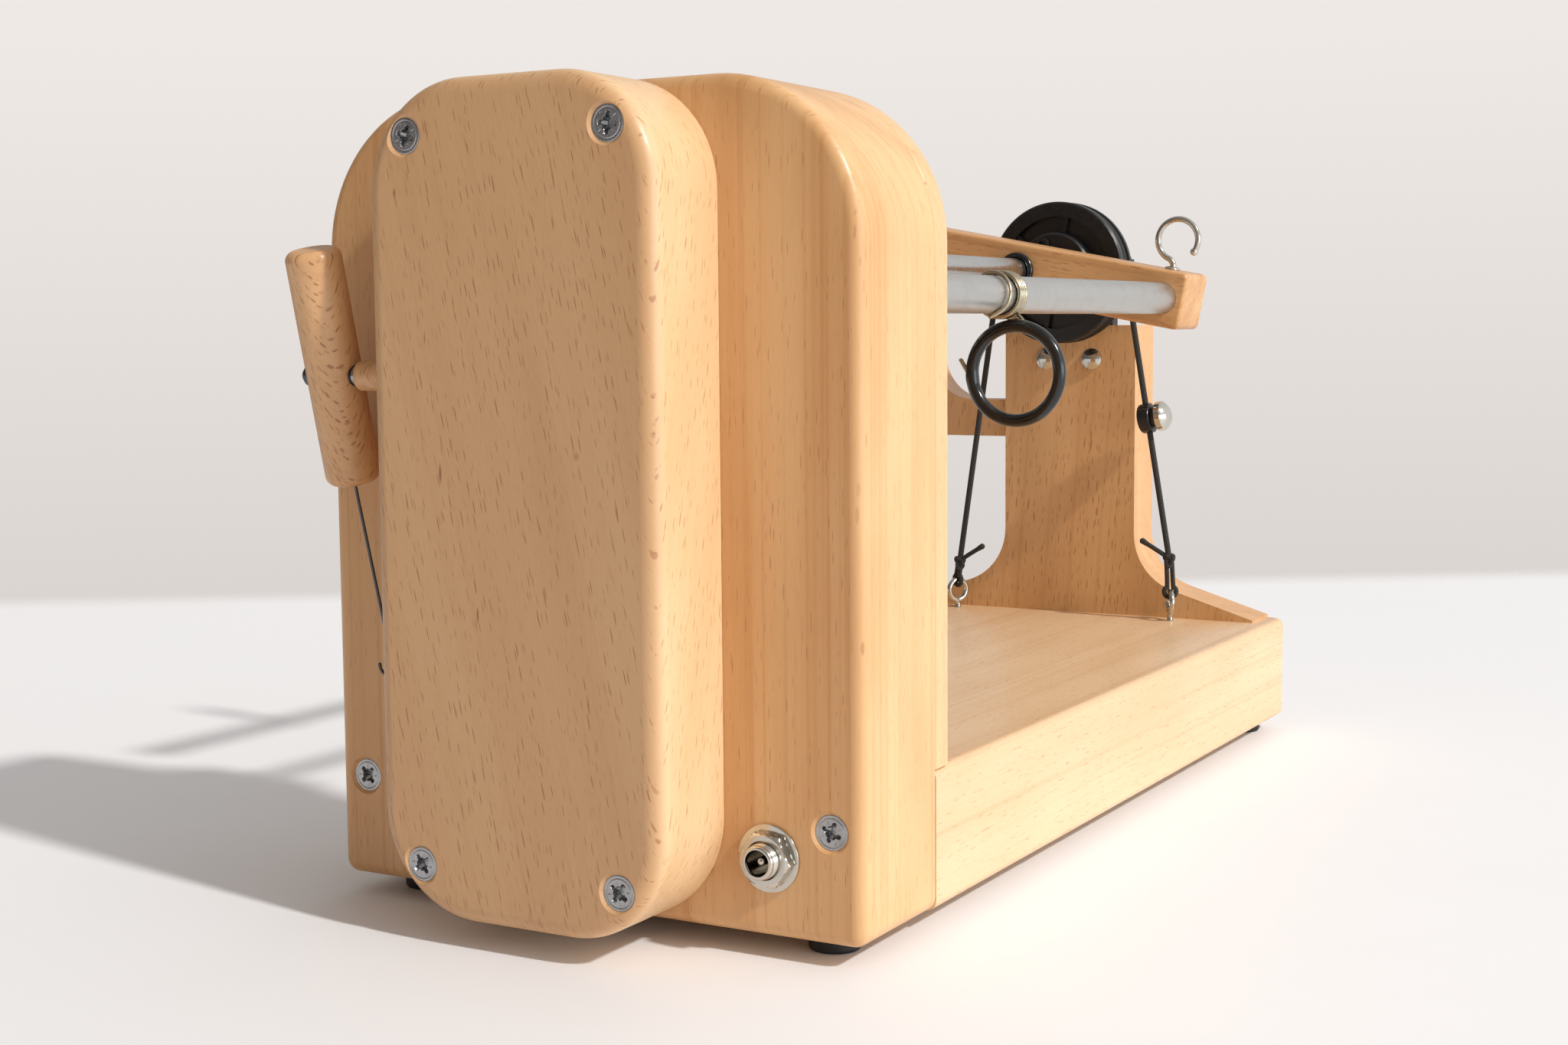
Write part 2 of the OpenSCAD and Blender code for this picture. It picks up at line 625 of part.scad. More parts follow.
// The switch: a box behind the panel, open in front, whose bezel overlaps the opening's edges.
module switch_body() color("#202020") difference() {
    union() {
        translate([control_x - switch_w / 2, panel_y - 0.5, control_z - switch_h / 2])
            cube([switch_w, 18, switch_h]);
        translate([control_x, panel_y, control_z - switch_h / 2 - 1]) rotate([90, 0, 0])
            soft_block(switch_w + 2, switch_h + 2, 1.6, 1.6, 1.6, 0.2, 0.6);
    }
    translate([control_x - switch_w / 2 + 1.2, panel_y - 3, control_z - switch_h / 2 + 1.2])
        cube([switch_w - 2.4, 11, switch_h - 2.4]);
    translate([control_x, rocker_axle_y, control_z]) rotate([0, 90, 0])
        cylinder(d = rocker_axle_d + 2 * fit, h = switch_w - 0.8, center = true);
}

// The rocker: a key on a cross axle whose two front faces meet in a shallow valley.
module switch_rocker() color("#383838") translate([control_x, rocker_axle_y, control_z])
    rotate([0, 90, 0]) {
        linear_extrude(rocker_w, center = true) difference() {
            translate([-rocker_h / 2, -5.6]) square([rocker_h, 8]);
            for (side = [0, 1]) mirror([side, 0]) translate([0, -4]) rotate(-8)
                translate([-1, -rocker_h]) square(rocker_h);
            for (side = [0, 1]) mirror([side, 0]) translate([rocker_h / 2, 2.4]) circle(3);
        }
        cylinder(d = rocker_axle_d, h = switch_w - 1, center = true);
    }

board_w = 30;
board_h = 48;
board_t = 1.6;
board_side_gap = 9.5;                       // from the board's edge to the casing's side wall
board_up = 73;                              // from the cavity's floor to the board's low edge
board_at = [-cavity_w / 2 + board_side_gap + board_w / 2, cavity_z + board_up + board_h / 2];
board_y = wall_y - 5;
board_screw_in = 3;                         // from a board screw to the board's edges
board_screw_d = 2.5;
spacer_d = 5;
spacer_head_d = 4.5;
terminal_w = 5.5;
terminal_h = 8;
terminal_d = 7.4;
terminal_pitch = 6;                         // the three blocks stand between the two lower spacers
function board_corners() = [for (sx = [-1, 1], sz = [-1, 1])
    [board_at[0] + sx * (board_w / 2 - board_screw_in), board_at[1] + sz * (board_h / 2 - board_screw_in)]];

// The speed controller: a board with a driver chip, two capacitors and three terminal blocks.
module control_board() color("darkgreen") {
    difference() {
        translate([board_at[0] - board_w / 2, board_y - board_t, board_at[1] - board_h / 2])
            cube([board_w, board_t, board_h]);
        for (p = board_corners())
            bar_y(p[0], p[1], board_screw_d + 2 * fit, board_y + eps, board_y - board_t - eps);
    }
    for (k = [0, 1]) bar_y(board_at[0] - 7 + 14 * k, board_at[1] + 10, 8, board_y - board_t, board_y - 12);
    translate([board_at[0] - 5, board_y - board_t - 2.4, board_at[1] - 8]) cube([10, 2.4, 10]);
    for (k = [-1, 0, 1])
        translate([board_at[0] - terminal_w / 2 + terminal_pitch * k, board_y - board_t - terminal_d,
            board_at[1] - board_h / 2 + board_screw_in]) cube([terminal_w, terminal_d, terminal_h]);
}

// Four spacers with screws hold the board off the casing's rear wall.
module board_spacers() color("silver") for (p = board_corners()) {
    difference() {
        bar_y(p[0], p[1], spacer_d, wall_y, board_y);
        bar_y(p[0], p[1], board_screw_d + 2 * fit, wall_y + eps, board_y - eps);
    }
    bar_y(p[0], p[1], board_screw_d, wall_y + 3.5, board_y - board_t - 0.1);
    bar_y(p[0], p[1], spacer_head_d, board_y - board_t, board_y - board_t - 1.4);
}

// ---------------------------------------------------------------- drive

motor_boss_d = 16;
motor_screw_r = 12.5;

module motor_screw_place(a) {
    translate([0, rear_y, motor_z]) rotate([0, a, 0]) translate([motor_screw_r, 0, 0])
        rotate([-90, 0, 0]) children();
}

// A flat motor: its can has chamfered ends and stands on a boss that centres it in the rear wall.
module motor() color("gray") difference() {
    union() {
        translate([0, wall_y, motor_z]) rotate([90, 0, 0]) {
            cylinder(d1 = motor_d - 2, d2 = motor_d, h = 1);
            translate([0, 0, 1]) cylinder(d = motor_d, h = motor_l - 2);
            translate([0, 0, motor_l - 1]) cylinder(d1 = motor_d, d2 = motor_d - 2, h = 1);
            translate([0, 0, motor_l]) cylinder(d = 14, h = 2);
        }
        bar_y(0, motor_z, motor_boss_d, wall_y + 5, wall_y);
    }
    bar_y(0, motor_z, motor_shaft_d + 2 * fit, rear_y, wall_y - motor_l + 2);
    for (a = [0, 180]) motor_screw_place(a) translate([0, 0, -rear_wall - 5])
        cylinder(d = 3 + 2 * fit, h = 6);
}

module motor_shaft() color("silver")
    bar_y(0, motor_z, motor_shaft_d, shaft_end_y, wall_y - motor_l + 3);

module motor_screws() color("silver") for (a = [0, 180]) motor_screw_place(a) {
    translate([0, 0, -rear_wall - 4]) cylinder(d = 3, h = rear_wall + 4);
    cylinder(d = 5.5, h = 2);
}

// A pulley turned about Y with a flat belt seat between two flanges and a bore for its shaft.
module pulley(z, seat_d, bore) translate([0, belt_y, z]) rotate([90, 0, 0]) difference() {
    rotate_extrude() {
        translate([0, -pulley_w / 2]) square([seat_d / 2, pulley_w]);
        for (s = [-1, 1]) translate([0, s * (pulley_w / 2 - 0.5) - 0.5])
            square([seat_d / 2 + flange_h, 1]);
    }
    cylinder(d = bore, h = pulley_w + 2, center = true);
}

module motor_pulley() color("silver") pulley(motor_z, motor_pulley_d, motor_shaft_d + 2 * fit);

// The driven pulley is lightened by a ring of six holes.
module driven_pulley() color("#303030") difference() {
    pulley(axis_z, driven_d, shaft_d + 2 * fit);
    for (k = [0:5]) translate([0, belt_y, axis_z]) rotate([90, 60 * k, 0])
        translate([(driven_d + shaft_d) / 4, 0, 0]) cylinder(d = 7, h = pulley_w + 2, center = true);
}

// The flat belt: an arc round each pulley and two straight runs that leave both arcs as tangents.
module drive_belt() color("#181818") translate([0, belt_y + belt_w / 2, motor_z]) rotate([90, 0, 0]) {
    dist = axis_z - motor_z;
    big_r = driven_d / 2 + belt_seat;
    small_r = motor_pulley_d / 2 + belt_seat;
    slant = asin((big_r - small_r) / dist);
    translate([0, dist]) belt_arc(big_r, -slant, 180 + 2 * slant);
    belt_arc(small_r, 180 + slant, 180 - 2 * slant);
    for (side = [0, 1]) mirror([side, 0, 0]) rotate(-slant)
        translate([small_r, 0, 0]) cube([belt_t, dist * cos(slant), belt_w]);
}

// A piece of the belt round radius r, from angle start on through the angle turn.
module belt_arc(r, start, turn) rotate(start) rotate_extrude(angle = turn)
    translate([r, 0]) square([belt_t, belt_w]);

// The hollow drive shaft turns in two bearings, and the flyer's spindle turns inside it.
module drive_shaft() color("silver") difference() {
    bar_y(0, axis_z, shaft_d, shaft_end_y, driver_y - driver_t);
    bar_y(0, axis_z, spindle_d + 2 * fit, shaft_end_y + eps, driver_y - driver_t - eps);
}

module shaft_spacer() color("gray") difference() {
    bar_y(0, axis_z, shaft_d + 3, wall_y - gap, joint_y + gap);
    bar_y(0, axis_z, shaft_d + 2 * fit, wall_y + eps, joint_y - eps);
}

// A ball bearing from y forwards: two races with a shallow shield between them.
module ball_bearing(y, bore) difference() {
    bar_y(0, axis_z, bearing_d, y, y - bearing_w);
    bar_y(0, axis_z, bore + 2 * fit, y + eps, y - bearing_w - eps);
    for (s = [0, 1]) translate([0, y - s * (bearing_w - 0.4), axis_z]) rotate([90, 0, 0])
        translate([0, 0, s > 0 ? 0 : -eps]) difference() {
            cylinder(d = bearing_d - 3.4, h = 0.4 + eps);
            translate([0, 0, -1]) cylinder(d = bore + 3, h = 3);
        }
}

module shaft_bearings() color("silver") {
    ball_bearing(wall_y + bearing_w, shaft_d);
    ball_bearing(joint_y, shaft_d);
}

// The bobbin driver: a chamfered disc on the shaft's front end with two pins that turn the bobbin.
module bobbin_driver() color("#202020") difference() {
    union() {
        translate([0, driver_y, axis_z]) rotate([90, 0, 0]) {
            cylinder(d = driver_d, h = driver_t - 1.5);
            translate([0, 0, driver_t - 1.5]) cylinder(d1 = driver_d, d2 = driver_d - 3, h = 1.5);
        }
        for (s = [-1, 1]) {
            bar_y(s * dog_r, axis_z, dog_d, driver_y - driver_t + 1, driver_y - driver_t - dog_l + 1);
            translate([s * dog_r, driver_y - driver_t - dog_l + 1, axis_z]) rotate([90, 0, 0])
                cylinder(d1 = dog_d, d2 = dog_d - 1.6, h = 1);
        }
    }
    bar_y(0, axis_z, shaft_d + 2 * fit, driver_y + eps, driver_y - driver_t - eps);
}

// ---------------------------------------------------------------- upright

// The upright's outline: a straight column on hollow curves that run out into a sloping foot.
module upright_outline() difference() {
    union() {
        translate([-column_w / 2, base_top]) square([column_w, column_top - base_top]);
        for (side = [-1, 1]) polygon([[0, base_top], [side * foot_w / 2, base_top],
            [side * foot_w / 2, foot_edge_z],
            [side * (foot_curve_x - foot_curve_r * sin(foot_slope)),
                foot_curve_z - foot_curve_r * cos(foot_slope)],
            [side * foot_curve_x, foot_curve_z], [0, foot_curve_z]]);
    }
    for (side = [-1, 1])
        translate([side * (foot_curve_x + 0.02), foot_curve_z + 0.02]) circle(foot_curve_r);
}

module upright() color("burlywood") difference() {
    upright_from(upright_y) linear_extrude(upright_t) upright_outline();
    for (side = [-1, 1]) bar_y(side * bolt_dx / 2, bolt_z, bolt_d + 2 * fit, upright_y + eps,
        upright_front_y - eps);
    arm_dowel(arm_dowel_d + 2 * fit);
}

arm_dowel_d = 6;
arm_dowel_l = 8;                            // depth of the dowel in the column

// The dowel that joins the side arm to the column, or its hole.
module arm_dowel(d) translate([column_w / 2 - arm_dowel_l, (upright_y + upright_front_y) / 2,
    arm_z + arm_h / 2]) rotate([0, 90, 0]) cylinder(d = d, h = arm_dowel_l + 1);

// The side arm: a bar on the column's side that sweeps up into a rounded horn, with its glued dowel.
module side_arm() color("burlywood") {
    bend = 10;
    horn_z = arm_z + arm_h + horn_up;
    crook_x = arm_end_x - horn_w - crook_curve_r;
    upright_from((upright_y + upright_front_y) / 2 + arm_t / 2) linear_extrude(arm_t) difference() {
        union() {
            translate([column_w / 2, arm_z]) square([arm_end_x - column_w / 2 - bend, arm_h]);
            translate([arm_end_x - bend, arm_z + bend]) circle(bend);
            translate([crook_x, arm_z + bend]) square([arm_end_x - crook_x, arm_h - bend + crook_curve_r]);
            translate([arm_end_x - horn_w, arm_z + arm_h]) square([horn_w, horn_up]);
            translate([arm_end_x - horn_w / 2, horn_z]) circle(horn_w / 2);
        }
        translate([crook_x, arm_z + arm_h + crook_curve_r]) circle(crook_curve_r);
    }
    arm_dowel(arm_dowel_d);
}

cradle_neck = 18;
cradle_plate = [30, 18];                    // width and height of the plate behind the bolts

// The cradle: a plate on the upright's front face whose round head is open at the top, so that the
// flyer's front bearing drops in from above.
module bearing_cradle() color("dimgray") difference() {
    upright_from(upright_front_y) linear_extrude(cradle_t) difference() {
        union() {
            translate([0, bolt_z]) square(cradle_plate, center = true);
            translate([-cradle_neck / 2, bolt_z]) square([cradle_neck, axis_z - bolt_z]);
            translate([0, axis_z]) circle(d = bearing_d + 6);
            translate([-bearing_d / 2 - 3, axis_z]) square([bearing_d + 6, 5]);
        }
        translate([0, axis_z]) circle(d = bearing_d + 2 * fit);
        translate([-bearing_d / 2 - fit, axis_z]) square([bearing_d + 2 * fit, bearing_d]);
    }
    for (side = [-1, 1]) bar_y(side * bolt_dx / 2, bolt_z, bolt_d + 2 * fit, upright_front_y + eps,
        cradle_y - eps);
}

// Two round-headed bolts, with their heads on the upright's rear face.
module cradle_bolts() color("silver") for (side = [-1, 1]) {
    bar_y(side * bolt_dx / 2, bolt_z, bolt_d, upright_y, cradle_y - 4);
    translate([side * bolt_dx / 2, upright_y, bolt_z]) rotate([-90, 0, 0]) rotate_extrude()
        intersection() {
            translate([0, -4]) circle(6);
            square([bolt_d * 0.9, 2.2]);
        }
}

module cradle_nuts() color("silver") for (side = [-1, 1]) difference() {
    facing_front(side * bolt_dx / 2, cradle_y, bolt_z) cylinder(d = 8, h = 3, $fn = 6);
    bar_y(side * bolt_dx / 2, bolt_z, bolt_d + 4 * fit, cradle_y + eps, cradle_y - 4);
}

module orifice_bearing() color("silver") ball_bearing(cradle_y + bearing_w, orifice_d);

// ---------------------------------------------------------------- flyer

// The orifice tube: a flared mouth in front, and a side opening on each side behind the brake disc.
module orifice_tube() color("silver") on_flyer() difference() {
    union() {
        bar_y(0, 0, orifice_d, crossbar_front_y + orifice_seat, orifice_front_y + 1);
        translate([0, orifice_front_y + 3, 0]) rotate([90, 0, 0]) rotate_extrude() {
            square([orifice_d / 2 + 1.5, 1.5]);
            square([orifice_d / 2, 3]);
            translate([orifice_d / 2, 1.5]) circle(1.5);
        }
    }
    bar_y(0, 0, orifice_bore, crossbar_front_y - 1, orifice_front_y - eps);
    translate([0, orifice_front_y - eps, 0]) rotate([-90, 0, 0])
        cylinder(d1 = orifice_bore + 4, d2 = orifice_bore, h = 2);
    translate([0, exit_y, 0]) cylinder(d = exit_d, h = orifice_d + 2, center = true);
}

hub_d = 27;
hub_t = 3;
rim_w = 5;
web_t = 5;

// The brake disc: a rim with a round groove, a thin web with six ribs on each side, and a hub.
module brake_disc() color("#181818") on_flyer() translate([0, disc_y, 0]) rotate([90, 0, 0])
    difference() {
        union() {
            rotate_extrude() difference() {
                union() {
                    polygon([[disc_d / 2 - rim_w, -disc_t / 2], [disc_d / 2 - 0.6, -disc_t / 2],
                        [disc_d / 2, -disc_t / 2 + 0.6], [disc_d / 2, disc_t / 2 - 0.6],
                        [disc_d / 2 - 0.6, disc_t / 2], [disc_d / 2 - rim_w, disc_t / 2]]);
                    polygon([[orifice_d / 2 + fit, -disc_t / 2 - hub_t],
                        [hub_d / 2 - 0.7, -disc_t / 2 - hub_t],
                        [hub_d / 2, -disc_t / 2 - hub_t + 0.7], [hub_d / 2, disc_t / 2],
                        [orifice_d / 2 + fit, disc_t / 2]]);
                    translate([hub_d / 2 - 1, -web_t / 2])
                        square([disc_d / 2 - rim_w - hub_d / 2 + 2, web_t]);
                }
                translate([disc_d / 2 + 0.6, 0]) circle(groove_depth + 0.6);
            }
            for (k = [0:5]) rotate(60 * k + 30)
                translate([hub_d / 2 - 0.8, -0.6, -disc_t / 2 + 0.8])
                    cube([disc_d / 2 - rim_w - hub_d / 2 + 1.6, 1.2, disc_t - 1.6]);
        }
        for (a = disc_screw_angles) rotate(a) translate([disc_screw_r, 0, -disc_t / 2 - hub_t - eps])
            cylinder(d = 2.5 + 2 * fit, h = 7 + eps);
    }

disc_screw_r = 10.2;
disc_screw_angles = [60, 180, 300];

// Three small cap screws in the rear face of the hub.
module disc_screws() color("#303030") on_flyer() translate([0, disc_y + disc_t / 2 + hub_t, 0])
    rotate([90, 0, 0]) for (a = disc_screw_angles) rotate(a) translate([disc_screw_r, 0, 0]) {
        cylinder(d = 2.5, h = 6);
        translate([0, 0, -1.8]) difference() {
            cylinder(d = 4.4, h = 1.8);
            translate([0, 0, -eps]) cylinder(d = 2.2, h = 1 + eps, $fn = 6);
        }
    }

module crossbar() color("burlywood") on_flyer() difference() {
    translate([0, 0, -crossbar_h / 2]) upright_from(crossbar_y)
        soft_block(crossbar_l, crossbar_h, crossbar_t, 2, 2, 1.2, 1.2);
    for (side = [-1, 1]) bar_y(side * tube_r, 0, tube_d + 2 * fit, crossbar_y + eps,
        crossbar_y - tube_seat);
    bar_y(0, 0, spindle_d + 2 * fit, crossbar_y + eps, crossbar_y - spindle_seat);
    bar_y(0, 0, orifice_d + 2 * fit, crossbar_front_y + orifice_seat, crossbar_front_y - eps);
    for (side = [-1, 1]) translate([-side * hook_x, crossbar_y - crossbar_t / 2, 0])
        rotate([0, side > 0 ? 0 : 180, 0])
            translate([0, 0, crossbar_h / 2 - hook_shank - 0.1])
                cylinder(d = eye_wire + 2 * fit, h = hook_shank + 0.1 + eps);
}

module flyer_tube(side) on_flyer() difference() {
    translate([side * tube_r, crossbar_y - tube_seat, 0]) rotate([-90, 0, 0]) {
        cylinder(d = tube_d, h = tube_end_y - crossbar_y + tube_seat - 0.4);
        translate([0, 0, tube_end_y - crossbar_y + tube_seat - 0.4])
            cylinder(d1 = tube_d, d2 = tube_d - 0.8, h = 0.4);
    }
    bar_y(side * tube_r, 0, tube_d - 2 * tube_wall, tube_end_y + eps, crossbar_y - tube_seat - eps);
}

module left_tube() color("silver") flyer_tube(1);
module right_tube() color("silver") flyer_tube(-1);

module spindle() color("silver") translate([0, crossbar_y - spindle_seat, axis_z])
    rotate([-90, 0, 0]) {
        cylinder(d = spindle_d, h = spindle_end_y - crossbar_y + spindle_seat - 1);
        translate([0, 0, spindle_end_y - crossbar_y + spindle_seat - 1])
            cylinder(d1 = spindle_d, d2 = spindle_d - 2, h = 1);
    }

module stop_ring() color("#181818") translate([0, crossbar_y + stop_ring_d / 2, axis_z])
    rotate([90, 0, 0]) ring(spindle_d + stop_ring_d + 2 * fit, stop_ring_d);

// A cup hook with its screw end down, its curve open towards the bar's end, and a ball on its tip.
module cup_hook() {
    mid_z = hook_neck + hook_d / 2;
    translate([0, 0, -hook_shank]) cylinder(d = eye_wire, h = hook_shank);
    cylinder(d = 5, h = 0.8);
    cylinder(d = eye_wire, h = hook_neck);
    translate([0, 0, mid_z]) rotate([90, 0, 0]) rotate(-25) rotate_extrude(angle = 295)
        translate([hook_d / 2, 0]) circle(d = eye_wire, $fn = 32);
    translate([hook_d / 2 * cos(-25), 0, mid_z + hook_d / 2 * sin(-25)]) sphere(d = eye_wire);
}

// The hooks stand on opposite faces of the crossbar, one near each end, so that the flyer balances.
module cup_hooks() color("silver") on_flyer() for (side = [0, 180]) rotate([0, side, 0])
    translate([-hook_x, crossbar_y - crossbar_t / 2, crossbar_h / 2]) mirror([1, 0, 0]) cup_hook();

// ---------------------------------------------------------------- yarn guides

function unit(v) = v / norm(v);

// Points along the clamp's wire, with the tube as the Y axis and the guide ring hanging below it:
// a loose turn, a tight coil, and a leg that runs from the coil's front end down to the ring.
coil_steps = 12;
coil_pitch = clamp_wire * 1.06;
loose_pitch = 8;
function coil_y(t) = t < 1 ? loose_pitch * (1 - t) : coil_pitch * (1 - t);
function coil_point(t) = [-clamp_r * sin(360 * t), coil_y(t) + coil_pitch * clamp_turns / 2,
    -clamp_r * cos(360 * t)];
leg_angle = 40;                             // where the leg meets the ring, from the ring's top
leg_way = unit([-sin(leg_angle), -1.5, cos(leg_angle)]); // out of the ring, square to its wire
leg_end = [-(ring_d - ring_wire) / 2 * sin(leg_angle), 0,
    -ring_arm + (ring_d - ring_wire) / 2 * cos(leg_angle)] + (ring_wire / 2 + gap) * leg_way;
clamp_path = concat(
    [for (k = [0:coil_steps * (clamp_turns + 1)]) coil_point(k / coil_steps)],
    [coil_point(clamp_turns + 1) + [-2.2, -0.3, -0.2], leg_end + 1.6 * leg_way, leg_end]);

// A tube along a list of points, closed at both ends. Its section is a regular polygon that is held
// upright by the direction up, which the path never takes.
module wire_along(path, d, sides, up) {
    n = len(path);
    function heading(k) = unit(path[min(k + 1, n - 1)] - path[max(k - 1, 0)]);
    rings = [for (k = [0:n - 1]) let (h = heading(k), a = unit(cross(h, up)), b = cross(a, h))
        for (s = [0:sides - 1]) path[k] + d / 2 * (cos(360 * s / sides) * a + sin(360 * s / sides) * b)];
    walls = [for (k = [0:n - 2], s = [0:sides - 1])
        [k * sides + s, k * sides + (s + 1) % sides, (k + 1) * sides + (s + 1) % sides,
            (k + 1) * sides + s]];
    polyhedron(rings, concat(walls, [[for (s = [sides - 1:-1:0]) s],
        [for (s = [0:sides - 1]) (n - 1) * sides + s]]));
}

// Places its child on a flyer tube: side 1 is the left tube and -1 the right one.
module on_tube(side) on_flyer() rotate([0, side > 0 ? 180 : 0, 0]) translate([-tube_r, clamp_y, 0])
    rotate([0, ring_lean, 0]) children();

module guide_clamp() wire_along(clamp_path, clamp_wire, 8, [0, 1, 0]);

// The guide ring: a sleeved loop across the yarn's way, with the wire's bare tail at its side.
module guide_ring() {
    translate([0, 0, -ring_arm]) rotate([90, 0, 0]) ring(ring_d - ring_wire, ring_wire);
    translate([ring_d / 2 - 1, 0, -ring_arm + 1]) rotate([0, 22, 0]) cylinder(d = clamp_wire, h = 5.5);
}

module left_clamp() color("silver") on_tube(1) guide_clamp();
module left_ring() color("#181818") on_tube(1) guide_ring();
module right_clamp() color("silver") on_tube(-1) guide_clamp();
module right_ring() color("#181818") on_tube(-1) guide_ring();

// ---------------------------------------------------------------- brake

function eye_turn(side) = 90 - side * 30;    // turn of a screw eye about its shank

module screw_eyes() color("silver") for (side = [-1, 1]) translate([side * eye_x, eye_y, 0]) {
    translate([0, 0, eye_z]) rotate([90, 0, eye_turn(side)]) ring(eye_d, eye_wire);
    translate([0, 0, base_top - 7.5]) cylinder(d = eye_wire, h = eye_z - eye_d / 2 - base_top + 7.5);
}

// The cord runs from the left knot up to the disc, round it, and down to the right knot.
function cord_point(x, z, y = disc_y) = [x, y, z];
arc_steps = 14;
cord_path = concat(
    [for (k = [0:4]) let (p = left_knot + k / 5 * ([cord_r * cos(left_touch),
        axis_z + cord_r * sin(left_touch)] - left_knot)) cord_point(p[0], p[1])],
    [for (k = [0:arc_steps]) let (a = left_touch + k / arc_steps * (right_touch - left_touch))
        cord_point(cord_r * cos(a), axis_z + cord_r * sin(a))],
    [for (k = [1:5]) let (p = right_top + k / 5 * (right_knot - right_top)) cord_point(p[0], p[1])]);

// A knot, a loop of cord round the top of its screw eye, and a short cut tail.
module cord_knot(p, side) {
    knot = [p[0], disc_y, p[1]];
    eye_top = [side * eye_x, eye_y, eye_z + eye_d / 2];
    loop_d = cord_d * 0.8;
    loop_r = (eye_wire + loop_d) / 2 + gap;
    along = [cos(eye_turn(side)), sin(eye_turn(side)), 0];
    across = [-sin(eye_turn(side)), cos(eye_turn(side)), 0];
    translate(knot) {
        sphere(d = 2.1 * cord_d);
        translate([0, 0, -1.6]) sphere(d = 1.8 * cord_d);
    }
    wire_along(concat([knot + 0.9 * across],
        [for (b = [30:30:330]) eye_top + loop_r * (cos(b) * [0, 0, 1] + sin(b) * across)],
        [knot - 0.9 * across]), loop_d, 8, along);
    wire_along([knot, knot + [-side * 4, 0.5, 2.5], knot + [-side * 9, 1, 5.5]], loop_d, 8, [0, 1, 0]);
}

module brake_cord() color("#403830") union() {
    wire_along(cord_path, cord_d, cord_sides, [0, 1, 0]);
    cord_knot(left_knot, 1);
    cord_knot(right_knot, -1);
}

// Places its child at the cord lock, with Z along the cord.
module at_lock() translate([lock_mid[0], disc_y, lock_mid[1]]) rotate([0, run_lean, 0]) children();

// Turns a drawing whose Z runs from the back of the lock to the end of its cap.
module along_lock() at_lock() translate([lock_back, 0, 0]) rotate([0, -90, 0]) children();

// The lock: a round head that the cord passes through, and a stem that guides the cap.
module cord_lock() color("#181818") difference() {
    along_lock() {
        rotate_extrude() {
            translate([0, 1]) square([lock_d / 2, lock_back + lock_face - 1.4]);
            square([lock_d / 2 - 1, lock_back + lock_face]);
            translate([lock_d / 2 - 1, 1]) circle(1);
            translate([lock_d / 2 - 1, lock_back + lock_face - 1]) circle(1);
        }
        cylinder(d = lock_stem_d, h = lock_back + lock_face + lock_stroke + 1.5);
    }
    at_lock() cylinder(d = cord_d + 2 * gap, h = lock_d + 2, center = true);
}

// The cap: a polished cup with a domed end that a spring holds away from the head.
module lock_button() color("silver") along_lock() {
    rim = lock_back + lock_face + lock_stroke + 0.1;
    translate([0, 0, rim]) difference() {
        rotate_extrude() intersection() {
            translate([0, -1.6]) circle(6.1);
            square([lock_d / 2, 4.5]);
        }
        translate([0, 0, -eps]) cylinder(d = lock_stem_d + 2 * fit, h = 3.2 + eps);
    }
}

// ---------------------------------------------------------------- threading hook

peg_seat = 10;
peg_y = rear_y + handle_y;
peg_end_x = handle_x - handle_d / 2 - magnet_t - gap;

module magnet_peg() color("tan") translate([cover_w / 2 - peg_seat + eps, peg_y, handle_z])
    rotate([0, 90, 0]) cylinder(d = peg_d, h = peg_end_x - cover_w / 2 + peg_seat - eps);

module magnet() color("silver") translate([peg_end_x, peg_y, handle_z]) rotate([0, 90, 0])
    cylinder(d = magnet_d, h = magnet_t);

// Places its child at the handle's magnet, with Z along the leaning handle.
module on_handle() translate([handle_x, peg_y, handle_z]) rotate([-handle_lean, 0, 0]) children();

// The handle is turned with rounded ends and is drilled for its steel pin and for its wire.
module hook_handle() color("tan") on_handle() difference() {
    translate([0, 0, -handle_down]) rotate_extrude() {
        end_r = 2.4;
        translate([0, end_r]) square([handle_d / 2, handle_up + handle_down - 2 * end_r]);
        square([handle_d / 2 - end_r, handle_up + handle_down]);
        for (z = [end_r, handle_up + handle_down - end_r])
            translate([handle_d / 2 - end_r, z]) circle(end_r);
    }
    rotate([0, 90, 0]) cylinder(d = magnet_d + 2 * fit, h = 2 * handle_d, center = true);
    translate([0, 0, -handle_down - eps]) cylinder(d = threader_d + 2 * fit, h = 14 + eps);
}

// The steel pin crosses the handle, flush on the magnet's side and with a cap on the other.
module hook_pin() color("dimgray") on_handle() translate([-handle_d / 2, 0, 0]) rotate([0, 90, 0]) {
    cylinder(d = magnet_d, h = handle_d);
    translate([0, 0, handle_d]) cylinder(d = magnet_d, h = 1.2);
    translate([0, 0, handle_d + 1.2]) cylinder(d1 = magnet_d, d2 = magnet_d - 1.6, h = 0.9);
}

// The hook's wire leaves the handle, hangs nearly straight down and ends in a small crook that
// pulls the yarn through the orifice. Its points are set from the handle's end, with Z along the handle.
crook_r = 2.2;
wire_bend = -handle_down - 2;
function hanging(y, z) = let (a = handle_lean - threader_lean)
    [z * tan(threader_side_lean), y * cos(a) - z * sin(a), wire_bend + y * sin(a) + z * cos(a)];
threader_path = concat([[0, 0, wire_bend + 13], [0, 0, wire_bend + 1]],
    [for (k = [0:4]) hanging(0, -k / 4 * threader_l - 0.6)],
    [for (a = [195:30:375]) hanging(crook_r + crook_r * cos(a), -threader_l - 0.6 + crook_r * sin(a))]);

module hook_wire() color("#202020") on_handle() wire_along(threader_path, threader_d, 8, [1, 0, 0]);

